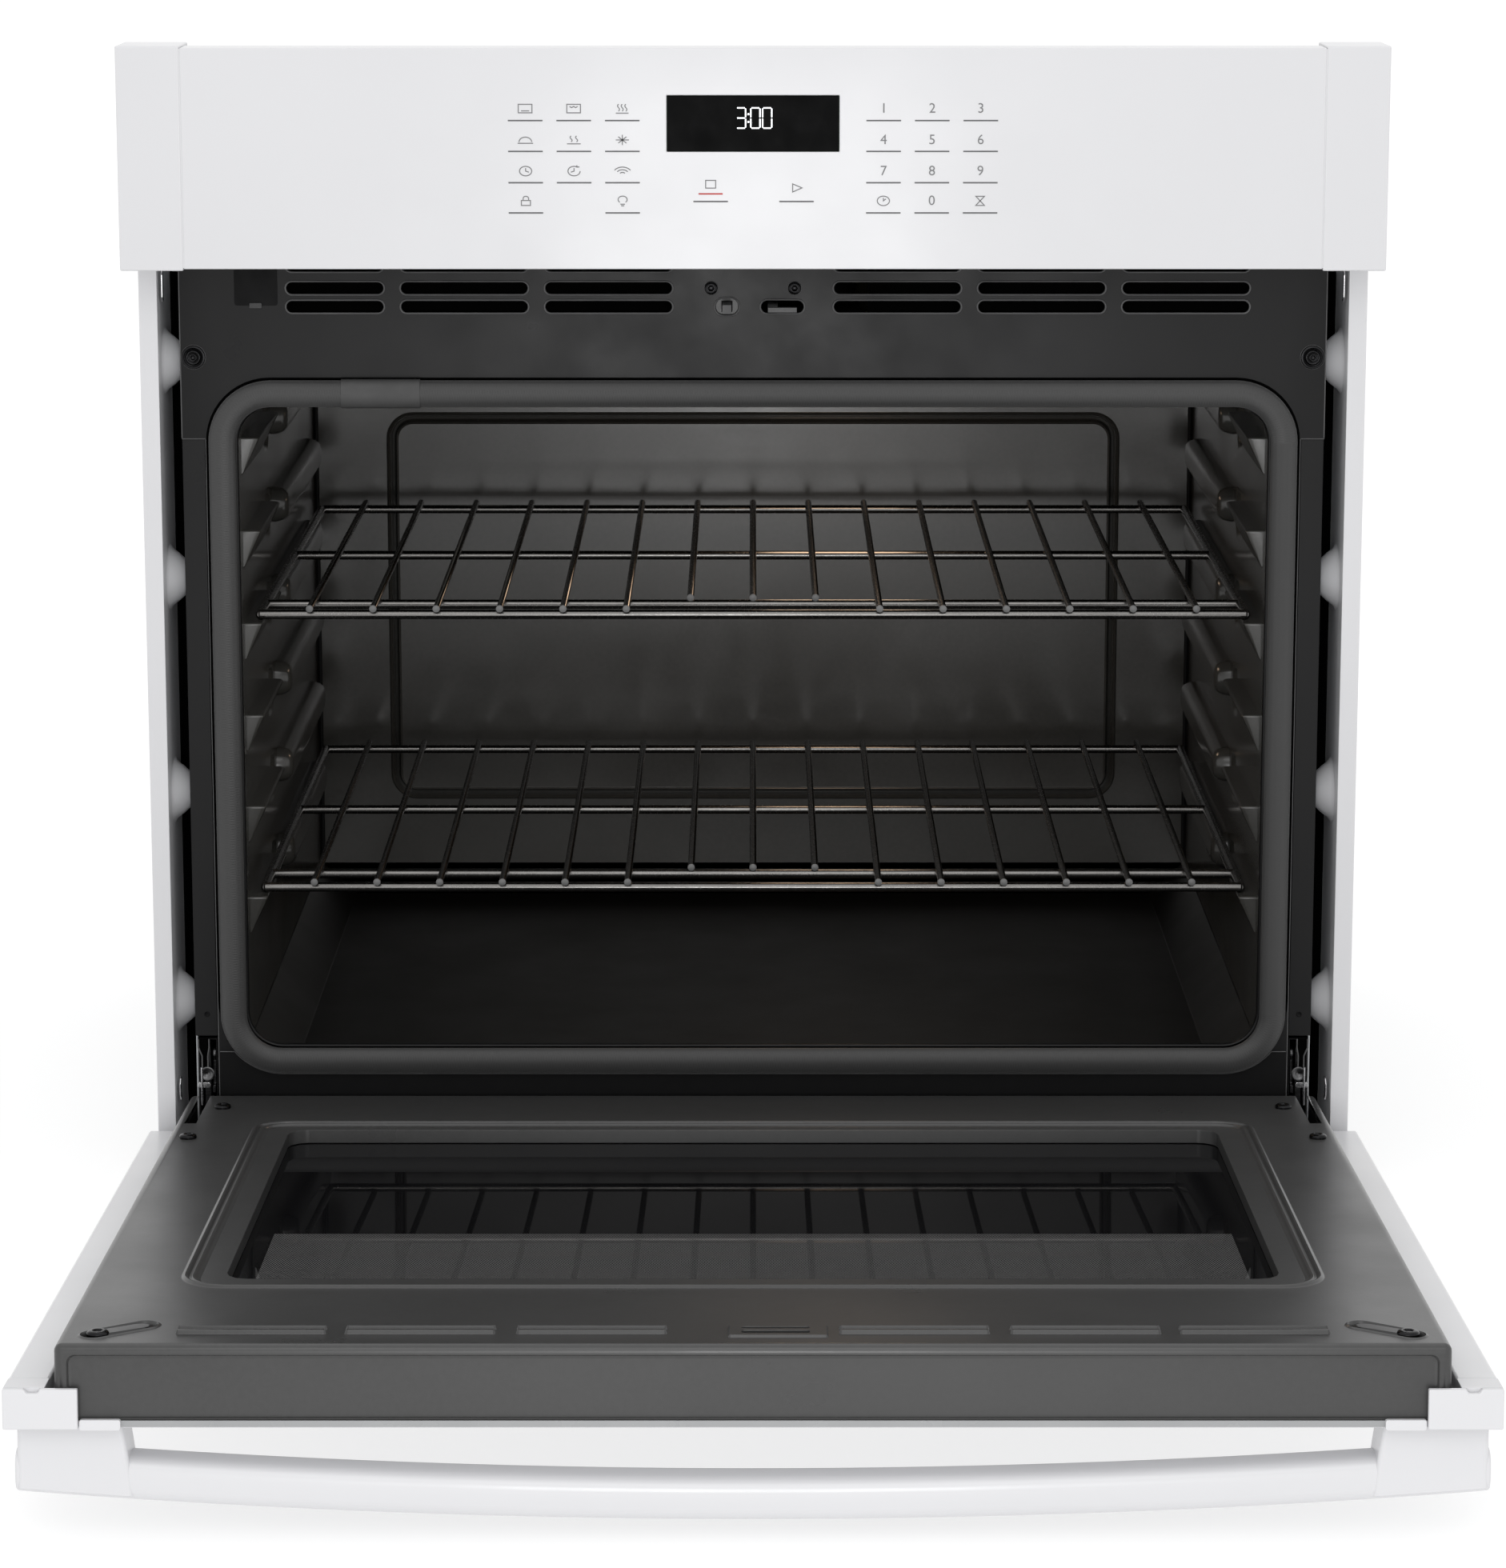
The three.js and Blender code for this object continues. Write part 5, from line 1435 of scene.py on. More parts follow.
def build_cavity():
    front, back = WALL[0].y, WALL[1].y - SHEET
    for side, word in ((-1, "left"), (1, "right")):
        place = (lambda k: lambda u, v, w: Vector((k * (CAVITY_HALF - w), u, v)))(side)
        shell = Shell(place)
        foot, head = WALL[0].z, WALL[1].z
        rim = shell.ring([(u, v, 0.0) for u, v in ((front, foot), (back, foot), (back, head), (front, head))])
        features = []
        for top in GUIDE_TOPS:
            features.append(ledge_feature(top, 32.7, 150.7))
            features.append(rib_feature(top, 200.0, 440.0))
            dimple = pressing(160, 190, top - 30, top + 4, 9, ramp(0.0, 0.0, 7.0, -4.0), 4)
            features.append((dimple, False))
        press(shell, rim, features)
        name = "cavity_side_" + word
        mesh = shell.mesh(name, angle=40, thickness=1.0)
        piece(name, mesh, "cavity enamel", nodes=("cavity_wall_" + word,))

    shell = Shell(lambda u, v, w: Vector((u, REAR_WALL[0].y - w, v)))
    edge = REAR_WALL[1].x
    foot, head = REAR_WALL[0].z, REAR_WALL[1].z
    rim = shell.ring([(u, v, 0.0) for u, v in ((-edge, foot), (edge, foot), (edge, head), (-edge, head))])
    section = [
        *ramp(0.0, 0.0, 1.0, 0.9, 3), *ramp(1.2, 0.9, 2.6, -4.8), *ramp(4.8, -3.9, 2.6, 4.8),
        *ramp(7.6, 0.9, 1.0, -0.9, 3),
    ]
    groove = pressing(-264, 264, 148, 433, 19, section, 8)
    lamp = pressing(-225, -175, 455, 505, 25, [(0.5, -0.6)], 8), True
    probe = pressing(194.5, 205.5, 494.5, 505.5, 5.5, [(0.2, -0.4)], 4), True
    press(shell, rim, [(groove, False), lamp, probe])
    mesh = shell.mesh("cavity rear", angle=40, thickness=1.0)
    piece("cavity_rear", mesh, "cavity enamel", nodes=("cavity_back_wall",))
    copy_of("cavity_ceiling", "cavity_top", "cavity enamel", 0.4)
    # The floor's enamel is a darker copy of the cavity's: painted shade.
    copy_of("cavity_floor", "cavity_bottom", "shaded floor enamel", 3.0, segments=4, angle=20.0)
    seam = Shell()
    for x in (-edge + 1.2, edge - 1.2):
        tube_mesh(seam, [(x, back - 1.0, WALL[0].z + 26), (x, back - 1.0, WALL[1].z - 1)], 1.6, 8)
    piece("cavity_seams", seam.mesh("seams"), "label")

    for node, name, finish in (
        ("broil_element", "broil_rod", "element"), ("bake_element", "bake_rod", "element"),
        ("temperature_sensor", "sensor_probe", "steel"), ("insulation_blanket", "blanket", "wool"),
    ):
        copy_of(node, name, finish, 0.0, angle=62.0)
    copy_of("oven_lamp", "lamp_lens", "lamp", 0.0, angle=50.0)


def build_gasket():
    low, high = GASKET
    width = 16.4
    centre = (0.0, (low.y + high.y) / 2 * MM, (low.z + high.z) / 2 * MM)
    values = {
        "Width": (high.x - low.x - width) * MM, "Height": (high.z - low.z - width) * MM, "Corner": 30.2 * MM,
        "Rope Width": width * MM, "Rope Depth": (high.y - low.y) * MM, "Centre": centre,
    }
    base = bpy.data.meshes.new("gasket")
    run_tree(tree("loop"), "gasket_rope_loop", base, values, "rope", nodes=("door_gasket",))
    sleeve = Shell()
    y, z = (low.y + high.y) / 2, high.z - width / 2
    half_deep, half_tall = (high.y - low.y) / 2, width / 2
    sections = []
    for x, deep, tall in ((-251.3, -0.3, -0.3), (-251.0, 0.15, 0.8), (-203.0, 0.15, 0.8), (-202.7, -0.3, -0.3)):
        oval = [(c * (half_deep + deep), s * (half_tall + tall)) for c, s in circle(1.0, 28)]
        sections.append([(x, y + a, z + b) for a, b in oval])
    sleeve.loft(sections)
    piece("gasket_sleeve", sleeve.mesh("gasket sleeve"), "sleeve")


# ---- Racks ----


WIRE_PITCH = 39.5
GRIP_Y, TIPS_Y = 78.0, 39.0  # front ends of the short and the long wires


def build_racks():
    s = sizes()
    rod, wire = s.rack_rod / MM, s.rack_wire / MM
    for node, (low, high) in RACKS.items():
        z = low.z + rod
        x = high.x - rod
        front, back = 45.0, high.y - rod
        shell = Shell()
        for side in (-1, 1):
            path = [(side * x, front, z), (side * x, back, z)]
            tube_mesh(shell, path, rod, 14)
        for y in (front, 80.0, 262.0, back):
            tube_mesh(shell, [(-x, y, z), (x, y, z)], rod, 14)
        name = node + "_rods"
        piece(name, shell.mesh(name, merge=1e-5), "wire", node, nodes=(node,))
        height = z + rod + wire - 0.6
        groups = (("short", -1, 3, GRIP_Y), ("long_left", -7, 6, TIPS_Y), ("long_right", 2, 6, TIPS_Y))
        for part, first, count, start in groups:
            one = Shell()
            tube_mesh(one, [(0, start, 0), (0, back + 1.6, 0)], wire, 10)
            place = (first * WIRE_PITCH, 0, height)
            row(f"{node}_wires_{part}", one.mesh("wire"), "wire", count, place, (WIRE_PITCH, 0, 0), node)
        dome = [(wire * 1.04, -0.3), (wire * 1.04, 0.5), (wire * 0.85, 0.85), (wire * 0.05, 0.95)]
        tip = button("wire tip", dome, 16)
        tips = [(i * WIRE_PITCH, GRIP_Y if abs(i) < 2 else TIPS_Y, height) for i in range(-7, 8)]
        scatter(node + "_tips", tip, "wire tip", tips, [FRONT] * 15, node)


# ---- Machinery, hinges ----


def build_machinery():
    for node, name, finish, body in (
        ("fan_housing", "fan_case", "zinc", "chassis"), ("fan_wheel", "fan_rotor", "zinc", "fan_wheel"),
        # The lock bracket is matt black: painted shade for the dark seen through the vents.
        ("fan_motor", "fan_drive", "plastic", "chassis"), ("lock_bracket", "lock_plate", "label", "chassis"),
        ("lock_hook", "lock_latch", "grey steel", "lock_hook"),
        ("switch_body", "switch_case", "plastic", "chassis"),
        ("switch_plunger", "switch_pin", "grey steel", "switch_plunger"),
    ):
        copy_of(node, name, finish, 0.3, body)


def build_hinges():
    for word in ("left", "right"):
        for node, name, finish, body in (
            ("hinge_receiver_", "hinge_pocket_", "label", "chassis"),
            ("hinge_arm_", "hinge_link_", "dark steel", "chassis"),
            ("hinge_channel_", "hinge_cheeks_", "label", "door"),
            ("hinge_pin_", "hinge_axle_", "steel", "door"),
        ):
            copy_of(node + word, name + word, finish, 0.35, body)
        side = -1 if word == "left" else 1
        # Lighter rods along the funnel's edges: painted highlights on its walls.
        bits = Shell()
        sides = (
            [(347.8, 104.4), (347.8, 99.0), (345.6, 93.6), (345.6, 86.0)],
            [(341.1, 104.4), (341.1, 99.0), (342.0, 93.6), (342.0, 86.0)],
        )
        for edge in sides:
            tube_mesh(bits, [(side * x, 7.6, z) for x, z in edge], 0.5, 8)
        piece("hinge_funnel_" + word, bits.mesh("funnel"), "rim")
        # A near-black fill inside the funnel's outline: painted shade for its dark inside.
        bits = Shell()
        funnel = [*sides[0], *reversed(sides[1])]
        bits.loft([[(side * x, y, z) for x, z in funnel] for y in (8.4, 9.2)])
        piece("hinge_mouth_" + word, bits.mesh("mouth"), "painted shade")
        bits = Shell()
        catch = rounded(340.6, 348.6, 73.0, 76.6, 1.6, 4)
        bits.loft([[(side * x, y, z) for x, z in catch] for y in (6.5, 9.5)])
        bits.loft([[(side * (345.9 + 0.9 * math.cos(a)), 7.0 + 4.2 * math.sin(a) * 0.4, z) for a in
                    (2 * math.pi * i / 12 for i in range(12))] for z in (62.0, 86.5)])
        piece("hinge_catch_" + word, bits.mesh("catch", 0.3 * MM), "steel")
        cam = button("cam", [(4.6, -0.5), (4.6, 0.6), (4.0, 1.0), (2.2, 1.1), (1.9, 0.4), (0.1, 0.3)], 20)
        scatter("hinge_cam_" + word, cam, "dark steel", [(side * 342.5, 7.6, 82.0)], [FRONT])
        copy_of("hinge_lock_" + word, "hinge_lever_" + word, "dark steel", 0.35, "hinge_lock_" + word)
        copy_of("hinge_spring_rod_" + word, "spring_rod_" + word, "steel", 0.2, "hinge_spring_rod_" + word)


# ---- Door ----


def liner_pressings():
    rib = sizes().rib_height / MM
    high = LINER[1]
    top = high.y
    shell = Shell(lambda u, v, w: on_door(u, top + w, v))
    roll = 4.0
    half = high.x
    window = pressing(
        -304, 304, 42, 430, 26,
        [*ramp(0.0, 0.0, 1.8, rib), *ramp(2.4, rib, 1.6, -rib - 0.5), *ramp(4.4, -0.5, 1.4, 1.0),
         *ramp(6.2, 0.5, 2.4, -1.7), *ramp(9.0, -1.2, 5.0, -2.2), *ramp(14.2, -3.4, 1.0, -1.2, 2),
         *ramp(15.6, -4.6, 1.2, 1.6), *ramp(17.6, -3.0, 1.6, -1.4), (20.6, -5.6), (22.3, -6.6),
         (22.6, -9.6)], 8,
    )
    # Its foot is narrower, to stay clear of the gasket.
    edge, lip, foot = 42.0, 64.6, 52.0
    squeeze = (lip - foot) / (lip - edge)
    window = [[(u, lip + (v - lip) * squeeze if v < lip else v, w) for u, v, w in loop] for loop in window]
    features = [(window, True)]
    for side in (-1, 1):
        for centre in (82.0, 169.0, 255.0):
            for v in (507.2, 515.2):
                u = side * centre
                slope = ramp(0.0, 0.0, 0.9, rib * 1.5, 3)
                features.append((pressing(u - 38.5, u + 38.5, v - 1.8, v + 1.8, 1.8, slope, 4), False))
    latch = pressing(-12.8, 38.2, 503.0, 523.2, 1.5, ramp(0.0, 0.0, 0.8, 1.4, 3), 3)
    return shell, features, latch, half, roll


POCKET_CENTRE = (322.5, 509.5)
POCKET_TURN = math.radians(37)


def pocket_loops(side):
    """A slanted oblong recess near the door's upper corner."""
    loops = []
    centre = Vector((side * POCKET_CENTRE[0], POCKET_CENTRE[1]))
    turn = POCKET_TURN * side
    slopes = [*ramp(0.0, 0.0, 1.2, 0.7, 2), *ramp(1.6, 0.7, 1.6, -4.6, 3), (3.6, -4.1)]
    for inset, height in [(-GUARD, 0.0), (0.0, 0.0), *slopes]:
        outline = rounded(-23.0 + inset, 23.0 - inset, -8.2 + inset, 8.2 - inset, 8.2 - inset, 6)
        points = []
        for u, v in outline:
            points.append((centre.x + u * math.cos(turn) - v * math.sin(turn),
                           centre.y + u * math.sin(turn) + v * math.cos(turn), height))
        loops.append(points)
    return loops


def build_liner():
    shell, features, latch, half, roll = liner_pressings()
    low, high = LINER
    wall = -(high.y - low.y)
    slots = []
    for v, tall in ((508.9, 1.7), (516.5, 2.4)):
        slots.append(pressing(-6.0, 29.0, v - tall, v + tall, 1.6, [(0.1, -0.4), (0.2, -3.0)], 3))
    # The latch plate is a raised island with its two slots in it.
    made = [shell.ring(loop) for loop in latch]
    for a, b in zip(made, made[1:]):
        shell.bridge(a, b)
    holes = []
    raised = latch[-1][0][2]
    for loops in slots:
        rings = [shell.ring([(u, v, w + raised) for u, v, w in loop]) for loop in loops]
        for a, b in zip(rings, rings[1:]):
            shell.bridge(a, b)
        if loops is slots[0]:  # the hook comes in through the other
            shell.cap(rings[-1])
        holes.append(rings[0])
    shell.fill(made[-1], holes)
    island = made[0]

    arms = corners("hinge_arm_right")
    notch_in, notch_out = arms[0].x - 1.7, arms[1].x + 1.7
    notch_top = 54.0
    outline = [
        (-half + roll, high.z - roll), (-half + roll, low.z), (-notch_out, low.z), (-notch_out, notch_top),
        (-notch_in, notch_top), (-notch_in, low.z), (notch_in, low.z), (notch_in, notch_top),
        (notch_out, notch_top), (notch_out, low.z), (half - roll, low.z), (half - roll, high.z - roll),
    ]
    rim = shell.ring([(u, v, 0.0) for u, v in outline])
    rings = []
    for side in (-1, 1):
        features.append((pocket_loops(side), False))
    for loops, opened in features:
        loop_rings = [shell.ring(loop) for loop in loops]
        for a, b in zip(loop_rings, loop_rings[1:]):
            shell.bridge(a, b)
        if not opened:
            shell.cap(loop_rings[-1])
        rings.append(loop_rings[0])
    shell.fill(rim, [*rings, island])

    # Rolled edge along the two sides and the upper end, then the walls.
    steps = 5
    corner = 6
    path = [(-half + roll, low.z, (-1.0, 0.0))]
    for i in range(corner + 1):
        a = math.pi - math.pi / 2 * i / corner
        path.append((-half + roll, high.z - roll, (math.cos(a), math.sin(a))))
    for i in range(corner + 1):
        a = math.pi / 2 - math.pi / 2 * i / corner
        path.append((half - roll, high.z - roll, (math.cos(a), math.sin(a))))
    path.append((half - roll, low.z, (1.0, 0.0)))
    turns = [math.pi / 2 * k / steps for k in range(steps + 1)]
    levels = [(roll * math.sin(a), -roll * (1 - math.cos(a))) for a in turns]
    levels.append((roll, -roll - 0.6))
    strips = []
    for out, drop in levels:
        strips.append(shell.ring([(u + n[0] * out, v + n[1] * out, drop) for u, v, n in path]))
    for a, b in zip(strips, strips[1:]):
        shell.bridge(a, b, closed=False)
    last = strips[-1]
    foot = shell.ring([(u + n[0] * roll, v + n[1] * roll, wall) for u, v, n in path])
    end = corner + 1  # the long straight run of the upper end starts here
    for i in range(len(last) - 1):
        if i != end:
            shell.faces.append((last[i], last[i + 1], foot[i + 1], foot[i]))
    # The upper end's wall, with its pressed field.
    face = [last[end], last[end + 1], foot[end + 1], foot[end]]
    depth = high.z
    field = []
    for inset, sink in ((-GUARD, 0.0), (0.0, 0.0), (0.4, 0.5), (0.9, 1.5), (1.6, 1.8), (2.6, 1.8)):
        loop = rounded(-half + 6.5 + inset, half - 6.5 - inset, wall - 30 + inset, -5.2 - inset, 4.0, 4)
        loop = [(u, max(v, wall + 0.6)) for u, v in loop]
        field.append(shell.ring([(u, depth - sink, v) for u, v in loop]))
    for a, b in zip(field, field[1:]):
        shell.bridge(a, b)
    shell.cap(field[-1])
    shell.fill(face, [field[0]])
    mesh = shell.mesh("door liner", angle=38, thickness=1.0, merge=2e-3)
    piece("door_liner_sheet", mesh, "door enamel", "door", ("door_liner",))


def build_door_parts():
    s = sizes()
    copy_of("window_frame", "window_surround", "door enamel", 0.4, "door")
    copy_of("door_inner_glass", "inner_pane", "dotted glass", s.glass_edge / MM, "door")
    copy_of("door_heat_glass", "heat_pane", "dark glass", s.glass_edge / MM, "door")
    copy_of("door_outer_glass", "outer_pane", "white glass", s.glass_edge / MM, "door", 3)
    strip = Shell(on_door)
    y0, y1 = GLASS[0].y + 0.5, GLASS[1].y - 0.2
    outline = [(-320.0, y0), (320.0, y0), (320.0, y1), (-320.0, y1)]
    prism(strip, outline, GLASS[1].z - 0.2, GLASS[1].z + 0.15)
    piece("glass_edge_strip", strip.mesh("glass edge"), "glass edge", "door")
    low, high = CAP
    for side, word in ((-1, "left"), (1, "right")):
        copy_of("door_side_trim_" + word, "door_edge_" + word, "white", 1.6, "door", 3)
        inner = corners("door_side_trim_right", door=True)[0].x
        shell = Shell(lambda u, v, w, k=side: on_door(k * u, v, w))
        outline = [(high.x, low.y), (high.x, high.y), (366.8, high.y), (365.6, high.y - 2.2),
                   (360.2, high.y - 2.2), (359.0, high.y), (low.x, high.y), (low.x, low.y)]
        deep = [(high.x, low.y), (high.x, high.y), (inner, high.y), (inner, low.y)]
        prism(shell, outline, high.z - 3.6, high.z)
        shell_deep = Shell(shell.place)
        prism(shell_deep, deep, low.z, high.z - 3.6)
        mesh = shell.mesh("door cap", 0.9 * MM, 3)
        piece("door_cap_" + word, mesh, "white", "door", ("door_end_cap_" + word,))
        piece("door_cap_block_" + word, shell_deep.mesh("cap block", 0.5 * MM), "white", "door")
        clip = Shell(lambda u, v, w, k=side: on_door(k * u, v, w))
        outline = rounded(318.7, low.x - 0.4, GLASS[0].y - 0.8, GLASS[1].y + 0.8, 1.2, 3)
        prism(clip, outline, GLASS[1].z - 9, GLASS[1].z + 2.6)
        piece("glass_clip_" + word, clip.mesh("glass clip", 0.5 * MM, 2), "white", "door")
        strap = Shell(lambda u, v, w, k=side: on_door(k * u, v, w))
        middle = Vector(POCKET_CENTRE)
        along, across = math.cos(POCKET_TURN), math.sin(POCKET_TURN)
        bar = [(u * along - v * across, u * across + v * along) for u, v in rounded(-19.0, 17.0, -5.4, 5.0, 5.0, 5)]
        sections = []
        for k, y in ((0.0, LINER[1].y - 3.9), (0.0, LINER[1].y - 0.4), (1.4, LINER[1].y + 0.7)):
            sections.append([(middle.x + u * (1 - k / 12), y, middle.y + v * (1 - k / 5)) for u, v in bar])
        strap.loft(sections)
        piece("corner_strap_" + word, strap.mesh("corner strap", 0.3 * MM), "plastic", "door")

    for side, word in ((-1, "left"), (1, "right")):
        lip = Shell(lambda u, v, w, k=side: on_door(k * u, v, w))
        outline = [(339.8, 20.4), (339.8, 18.6), (346.6, 18.6), (346.6, 20.4), (345.6, 20.4), (345.2, 21.2),
                   (341.2, 21.2), (340.8, 20.4)]
        prism(lip, outline, 49.5, 54.5)
        piece("notch_lip_" + word, lip.mesh("notch lip", 0.3 * MM), "door enamel", "door")

    face = LINER[1].y
    tilt = 90.0 - math.degrees(math.asin(OPEN[2][1]))
    turn = (-tilt, 0.0, 0.0)
    screws = [on_door(k * u, face, v) for k in (-1, 1) for u, v in ((328.0, 13.0), (339.5, 92.0))]
    scatter("liner_screws", star_screw(5.2, 2.6), "screw", screws, [turn] * 4, "door")
    small = [on_door(k * 332.5, face - 0.4, 517.0) for k in (-1, 1)]
    slots = Shell(on_door)
    for z, tall, sink in ((508.9, 1.5, 1.6), (516.5, 5.0, 12.0)):
        outline = rounded(-5.8, 28.8, z - tall, z + tall, 1.4, 3)
        slots.loft([[(x, face - y, v) for x, v in outline] for y in (sink, sink + 0.6)])
    piece("latch_slot_shadows", slots.mesh("latch slots"), "painted shade", "door")
    scatter("strap_screws", star_screw(5.8, 2.6), "screw", small, [turn] * 2, "door")


def bar_section(width, height, power=3.4, count=36):
    """A soft oblong section."""
    points = []
    for i in range(count):
        a = 2 * math.pi * i / count
        c, s = math.cos(a), math.sin(a)
        points.append((width / 2 * abs(c) ** (2 / power) * (1 if c >= 0 else -1),
                       height / 2 * abs(s) ** (2 / power) * (1 if s >= 0 else -1)))
    return points


def build_handle():
    low, high = BAR
    reach = high.x
    depth = 23.0
    bow = 15.0
    back_middle = low.y + depth
    height = high.z - low.z
    z = (low.z + high.z) / 2
    shell = Shell(on_door)
    section = bar_section(depth, height)
    sections = []
    for i in range(-40, 41):
        t = i / 40
        x = reach * math.sin(t * math.pi / 2) if abs(t) > 0.999 else reach * t
        y = back_middle - depth / 2 + bow * t * t
        sections.append([(x, y + a, z + b) for a, b in section])
    for t in (-1, 1):
        y = back_middle - depth / 2 + bow
        for grow, out in ((0.985, -0.9), (0.94, -0.25), (0.86, 0.0)):
            ring = [(t * (reach + out), y + a * grow, z + b * grow) for a, b in section]
            if t < 0:
                sections.insert(0, ring)
            else:
                sections.append(ring)
    sections[3] = [(-reach + 1.4, p[1], p[2]) for p in sections[3]]
    sections[-4] = [(reach - 1.4, p[1], p[2]) for p in sections[-4]]
    shell.loft(sections)
    piece("handle_grip", shell.mesh("handle grip", angle=50, merge=1e-4), "white", "door", ("handle_bar",))

    for side, word in ((-1, "left"), (1, "right")):
        post = Shell(lambda u, v, w, k=side: on_door(k * u, v, w))
        outer = POST[1].x
        rings = []
        top = POST[1].y
        inner_side = ((0.0, 319.4), (0.05, 318.8), (0.3, 317.2), (0.6, 315.6), (0.9, 314.4), (1.0, 314.2))
        for share, inner in inner_side:
            rows = []
            for u, w in rounded(inner, outer + 1.6, low.z - 0.5, high.z + 0.5, 2.5, 4):
                end = low.y + bow * (u / reach) ** 2 + 3.4
                rows.append((u, top + (end - top) * share, w))
            rings.append(rows)
        post.loft(rings)
        mesh = post.mesh("handle foot", 0.5 * MM, 2, angle=50)
        piece("handle_foot_" + word, mesh, "white", "door", ("handle_post_" + word,))


# ---- Stage ----


def build_stage():
    st = bpy.context.scene.oven_stage
    floor = bpy.data.meshes.new("floor")
    reach = 40.0
    square = [(-reach, -reach, 0), (reach, -reach, 0), (reach, reach, 0), (-reach, reach, 0)]
    floor.from_pydata(square, [], [(0, 1, 2, 3)])
    obj = bpy.data.objects.new("floor", floor)
    obj.location.z = CAD_BOX[0].z - 0.0005
    bpy.context.collection.objects.link(obj)
    f = coated("pale floor", (0.42, 0.42, 0.42), 0.9, vary=0.01, patch=0.5, grain=40.0, bump=1e-5)
    f.shade(Specular_IOR_Level=0.1, Emission_Color=(1, 1, 1, 1), Emission_Strength=0.62)
    floor.materials.append(f.material)

    scene = bpy.context.scene
    world = bpy.data.worlds.new("studio")
    scene.world = world
    world.use_nodes = True
    world.node_tree.nodes["Background"].inputs["Color"].default_value = (1, 1, 1, 1)
    world.node_tree.nodes["Background"].inputs["Strength"].default_value = st.sky
    for name, place, aim, size, power in (
        ("front softbox", (0.0, -2.4, 1.9), (0, 0, 0.35), 1.6, st.key),
        ("top softbox", (0.0, 0.2, 2.6), (0, 0, 0), 2.4, st.key * 0.65),
    ):
        light = bpy.data.lights.new(name, "AREA")
        light.shape = "DISK"
        light.size = size
        light.energy = power
        lamp = bpy.data.objects.new(name, light)
        lamp.location = place
        lamp.rotation_euler = (Vector(place) - Vector(aim)).to_track_quat("Z", "Y").to_euler()
        lamp.visible_camera = False
        bpy.context.collection.objects.link(lamp)
    strip = bpy.data.lights.new("low strip light", "AREA")
    strip.shape = "RECTANGLE"
    strip.size, strip.size_y = 0.4, 0.5
    strip.energy = st.key * 0.62
    lamp = bpy.data.objects.new("low strip light", strip)
    lamp.location = (0.0, -2.3, 0.3)
    lamp.rotation_euler = (math.radians(93), 0.0, 0.0)
    lamp.visible_camera = False
    bpy.context.collection.objects.link(lamp)
    glow = bpy.data.lights.new("cavity glow", "AREA")
    glow.size = 0.1
    glow.energy = 0.22
    glow.color = (1.0, 0.72, 0.5)
    lamp = bpy.data.objects.new("cavity glow", glow)
    lamp.location = (0.06, 0.25, 0.5)
    lamp.rotation_euler = (0.0, 0.0, 0.0)
    lamp.visible_camera = False
    bpy.context.collection.objects.link(lamp)

    camera = bpy.data.cameras.new("camera")
    camera.lens = st.camera_lens
    camera.sensor_width = 36.0
    camera.shift_y = st.camera_shift
    eye = bpy.data.objects.new("camera", camera)
    eye.location = (0.0, st.camera_y, st.camera_z)
    eye.rotation_euler = (math.pi / 2 - st.camera_pitch, 0.0, 0.0)
    bpy.context.collection.objects.link(eye)
    scene.camera = eye
    scene.view_settings.view_transform = "Standard"


# ---- Operators ----


class OVEN_OT_finishes(bpy.types.Operator):
    """Make the materials"""

    bl_idname = "oven.finishes"
    bl_label = "Finishes"

    def execute(self, context):
        make_finishes()
        return {"FINISHED"}


class OVEN_OT_body(bpy.types.Operator):
    """Build the body's sheets, beads, louvres and screws"""

    bl_idname = "oven.body"
    bl_label = "Body"

    def execute(self, context):
        build_body()
        return {"FINISHED"}


class OVEN_OT_front(bpy.types.Operator):
    """Build the front frame, its slots, screws and plates"""

    bl_idname = "oven.front"
    bl_label = "Front frame"

    def execute(self, context):
        build_front()
        return {"FINISHED"}


class OVEN_OT_trims(bpy.types.Operator):
    """Build the two side trims with their spacers"""

    bl_idname = "oven.trims"
    bl_label = "Side trims"

    def execute(self, context):
        build_trims()
        return {"FINISHED"}


class OVEN_OT_panel(bpy.types.Operator):
    """Build the control panel, its display and key marks"""

    bl_idname = "oven.panel"
    bl_label = "Control panel"

    def execute(self, context):
        build_panel()
        return {"FINISHED"}


class OVEN_OT_cavity(bpy.types.Operator):
    """Build the cavity's walls, elements, lamp and sensor"""

    bl_idname = "oven.cavity"
    bl_label = "Cavity"

    def execute(self, context):
        build_cavity()
        return {"FINISHED"}


class OVEN_OT_gasket(bpy.types.Operator):
    """Build the rope gasket and its sleeve"""

    bl_idname = "oven.gasket"
    bl_label = "Gasket"

    def execute(self, context):
        build_gasket()
        return {"FINISHED"}


class OVEN_OT_racks(bpy.types.Operator):
    """Build the two wire racks"""

    bl_idname = "oven.racks"
    bl_label = "Racks"

    def execute(self, context):
        build_racks()
        return {"FINISHED"}


class OVEN_OT_machinery(bpy.types.Operator):
    """Finish the fan, lock and switch"""

    bl_idname = "oven.machinery"
    bl_label = "Machinery"

    def execute(self, context):
        build_machinery()
        return {"FINISHED"}


class OVEN_OT_hinges(bpy.types.Operator):
    """Build the hinges in their pockets"""

    bl_idname = "oven.hinges"
    bl_label = "Hinges"

    def execute(self, context):
        build_hinges()
        return {"FINISHED"}


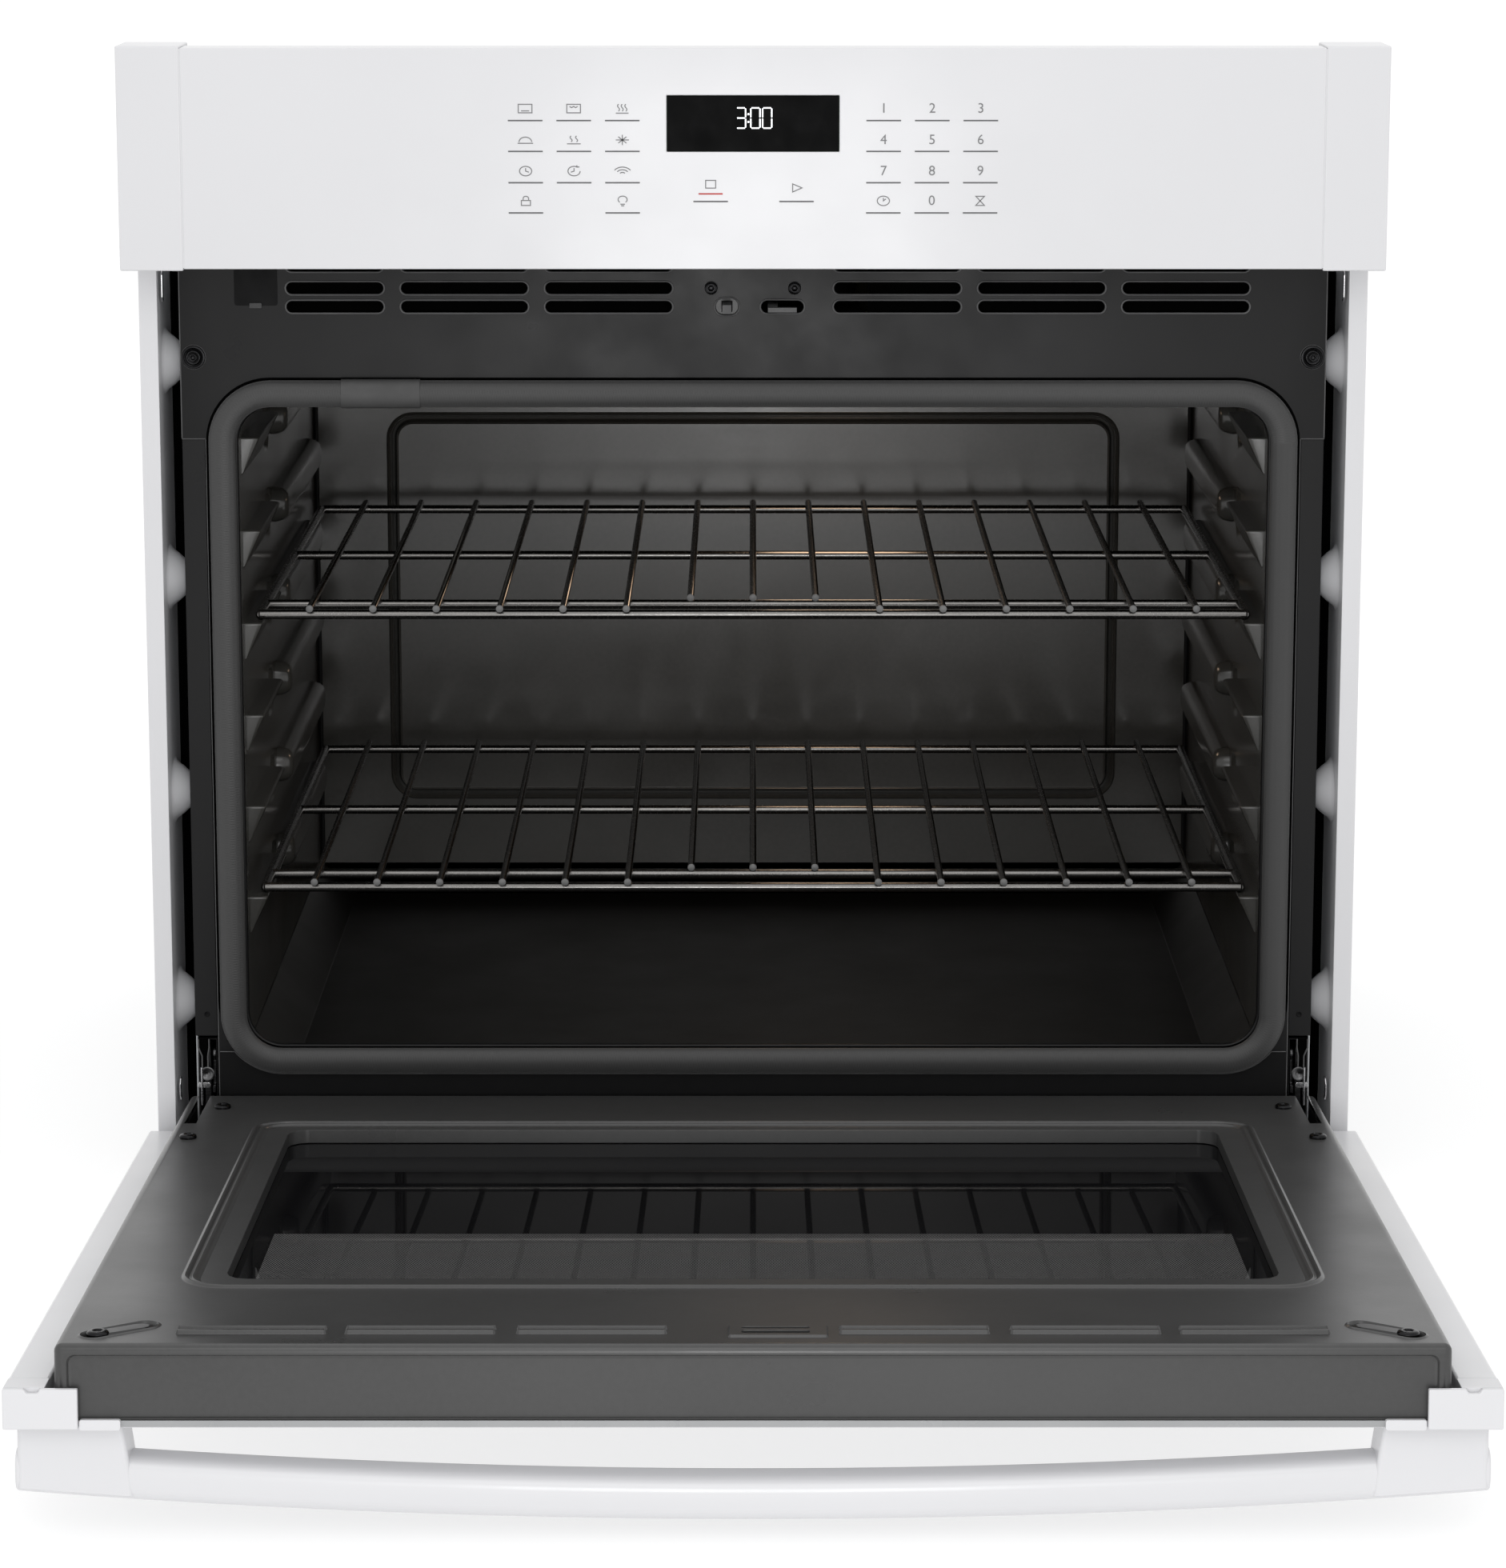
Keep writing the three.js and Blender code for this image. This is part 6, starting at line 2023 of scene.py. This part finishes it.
class OVEN_OT_door(bpy.types.Operator):
    """Build the door's liner, panes, trims and caps"""

    bl_idname = "oven.door"
    bl_label = "Door"

    def execute(self, context):
        build_liner()
        build_door_parts()
        return {"FINISHED"}


class OVEN_OT_handle(bpy.types.Operator):
    """Build the bowed handle and its feet"""

    bl_idname = "oven.handle"
    bl_label = "Handle"

    def execute(self, context):
        build_handle()
        return {"FINISHED"}


class OVEN_OT_stage(bpy.types.Operator):
    """Set the floor, lights and camera"""

    bl_idname = "oven.stage"
    bl_label = "Stage"

    def execute(self, context):
        build_stage()
        return {"FINISHED"}


OPERATORS = (
    OVEN_OT_finishes,
    OVEN_OT_body,
    OVEN_OT_front,
    OVEN_OT_trims,
    OVEN_OT_panel,
    OVEN_OT_cavity,
    OVEN_OT_gasket,
    OVEN_OT_racks,
    OVEN_OT_machinery,
    OVEN_OT_hinges,
    OVEN_OT_door,
    OVEN_OT_handle,
    OVEN_OT_stage,
)


class OVEN_PT_panel(bpy.types.Panel):
    """Lists the oven's settings and the steps that build it."""

    bl_idname = "OVEN_PT_panel"
    bl_label = "Wall oven"
    bl_space_type = "VIEW_3D"
    bl_region_type = "UI"
    bl_category = "Oven"

    def draw(self, context):
        for group in (context.scene.oven_sizes, context.scene.oven_colours, context.scene.oven_stage):
            box = self.layout.box()
            for key in group.bl_rna.properties.keys():
                if key not in ("rna_type", "name"):
                    box.prop(group, key)
        for made in OPERATORS:
            self.layout.operator(made.bl_idname)


CLASSES = (OvenSizes, OvenColours, OvenStage, *OPERATORS, OVEN_PT_panel)


def register():
    for made in CLASSES:
        bpy.utils.register_class(made)
    bpy.types.Scene.oven_sizes = bpy.props.PointerProperty(type=OvenSizes)
    bpy.types.Scene.oven_colours = bpy.props.PointerProperty(type=OvenColours)
    bpy.types.Scene.oven_stage = bpy.props.PointerProperty(type=OvenStage)


def unregister():
    del bpy.types.Scene.oven_sizes, bpy.types.Scene.oven_colours, bpy.types.Scene.oven_stage
    for made in reversed(CLASSES):
        bpy.utils.unregister_class(made)


def main():
    register()
    for made in OPERATORS:
        getattr(bpy.ops.oven, made.bl_idname.split(".")[1])()


if __name__ == "__main__":
    main()
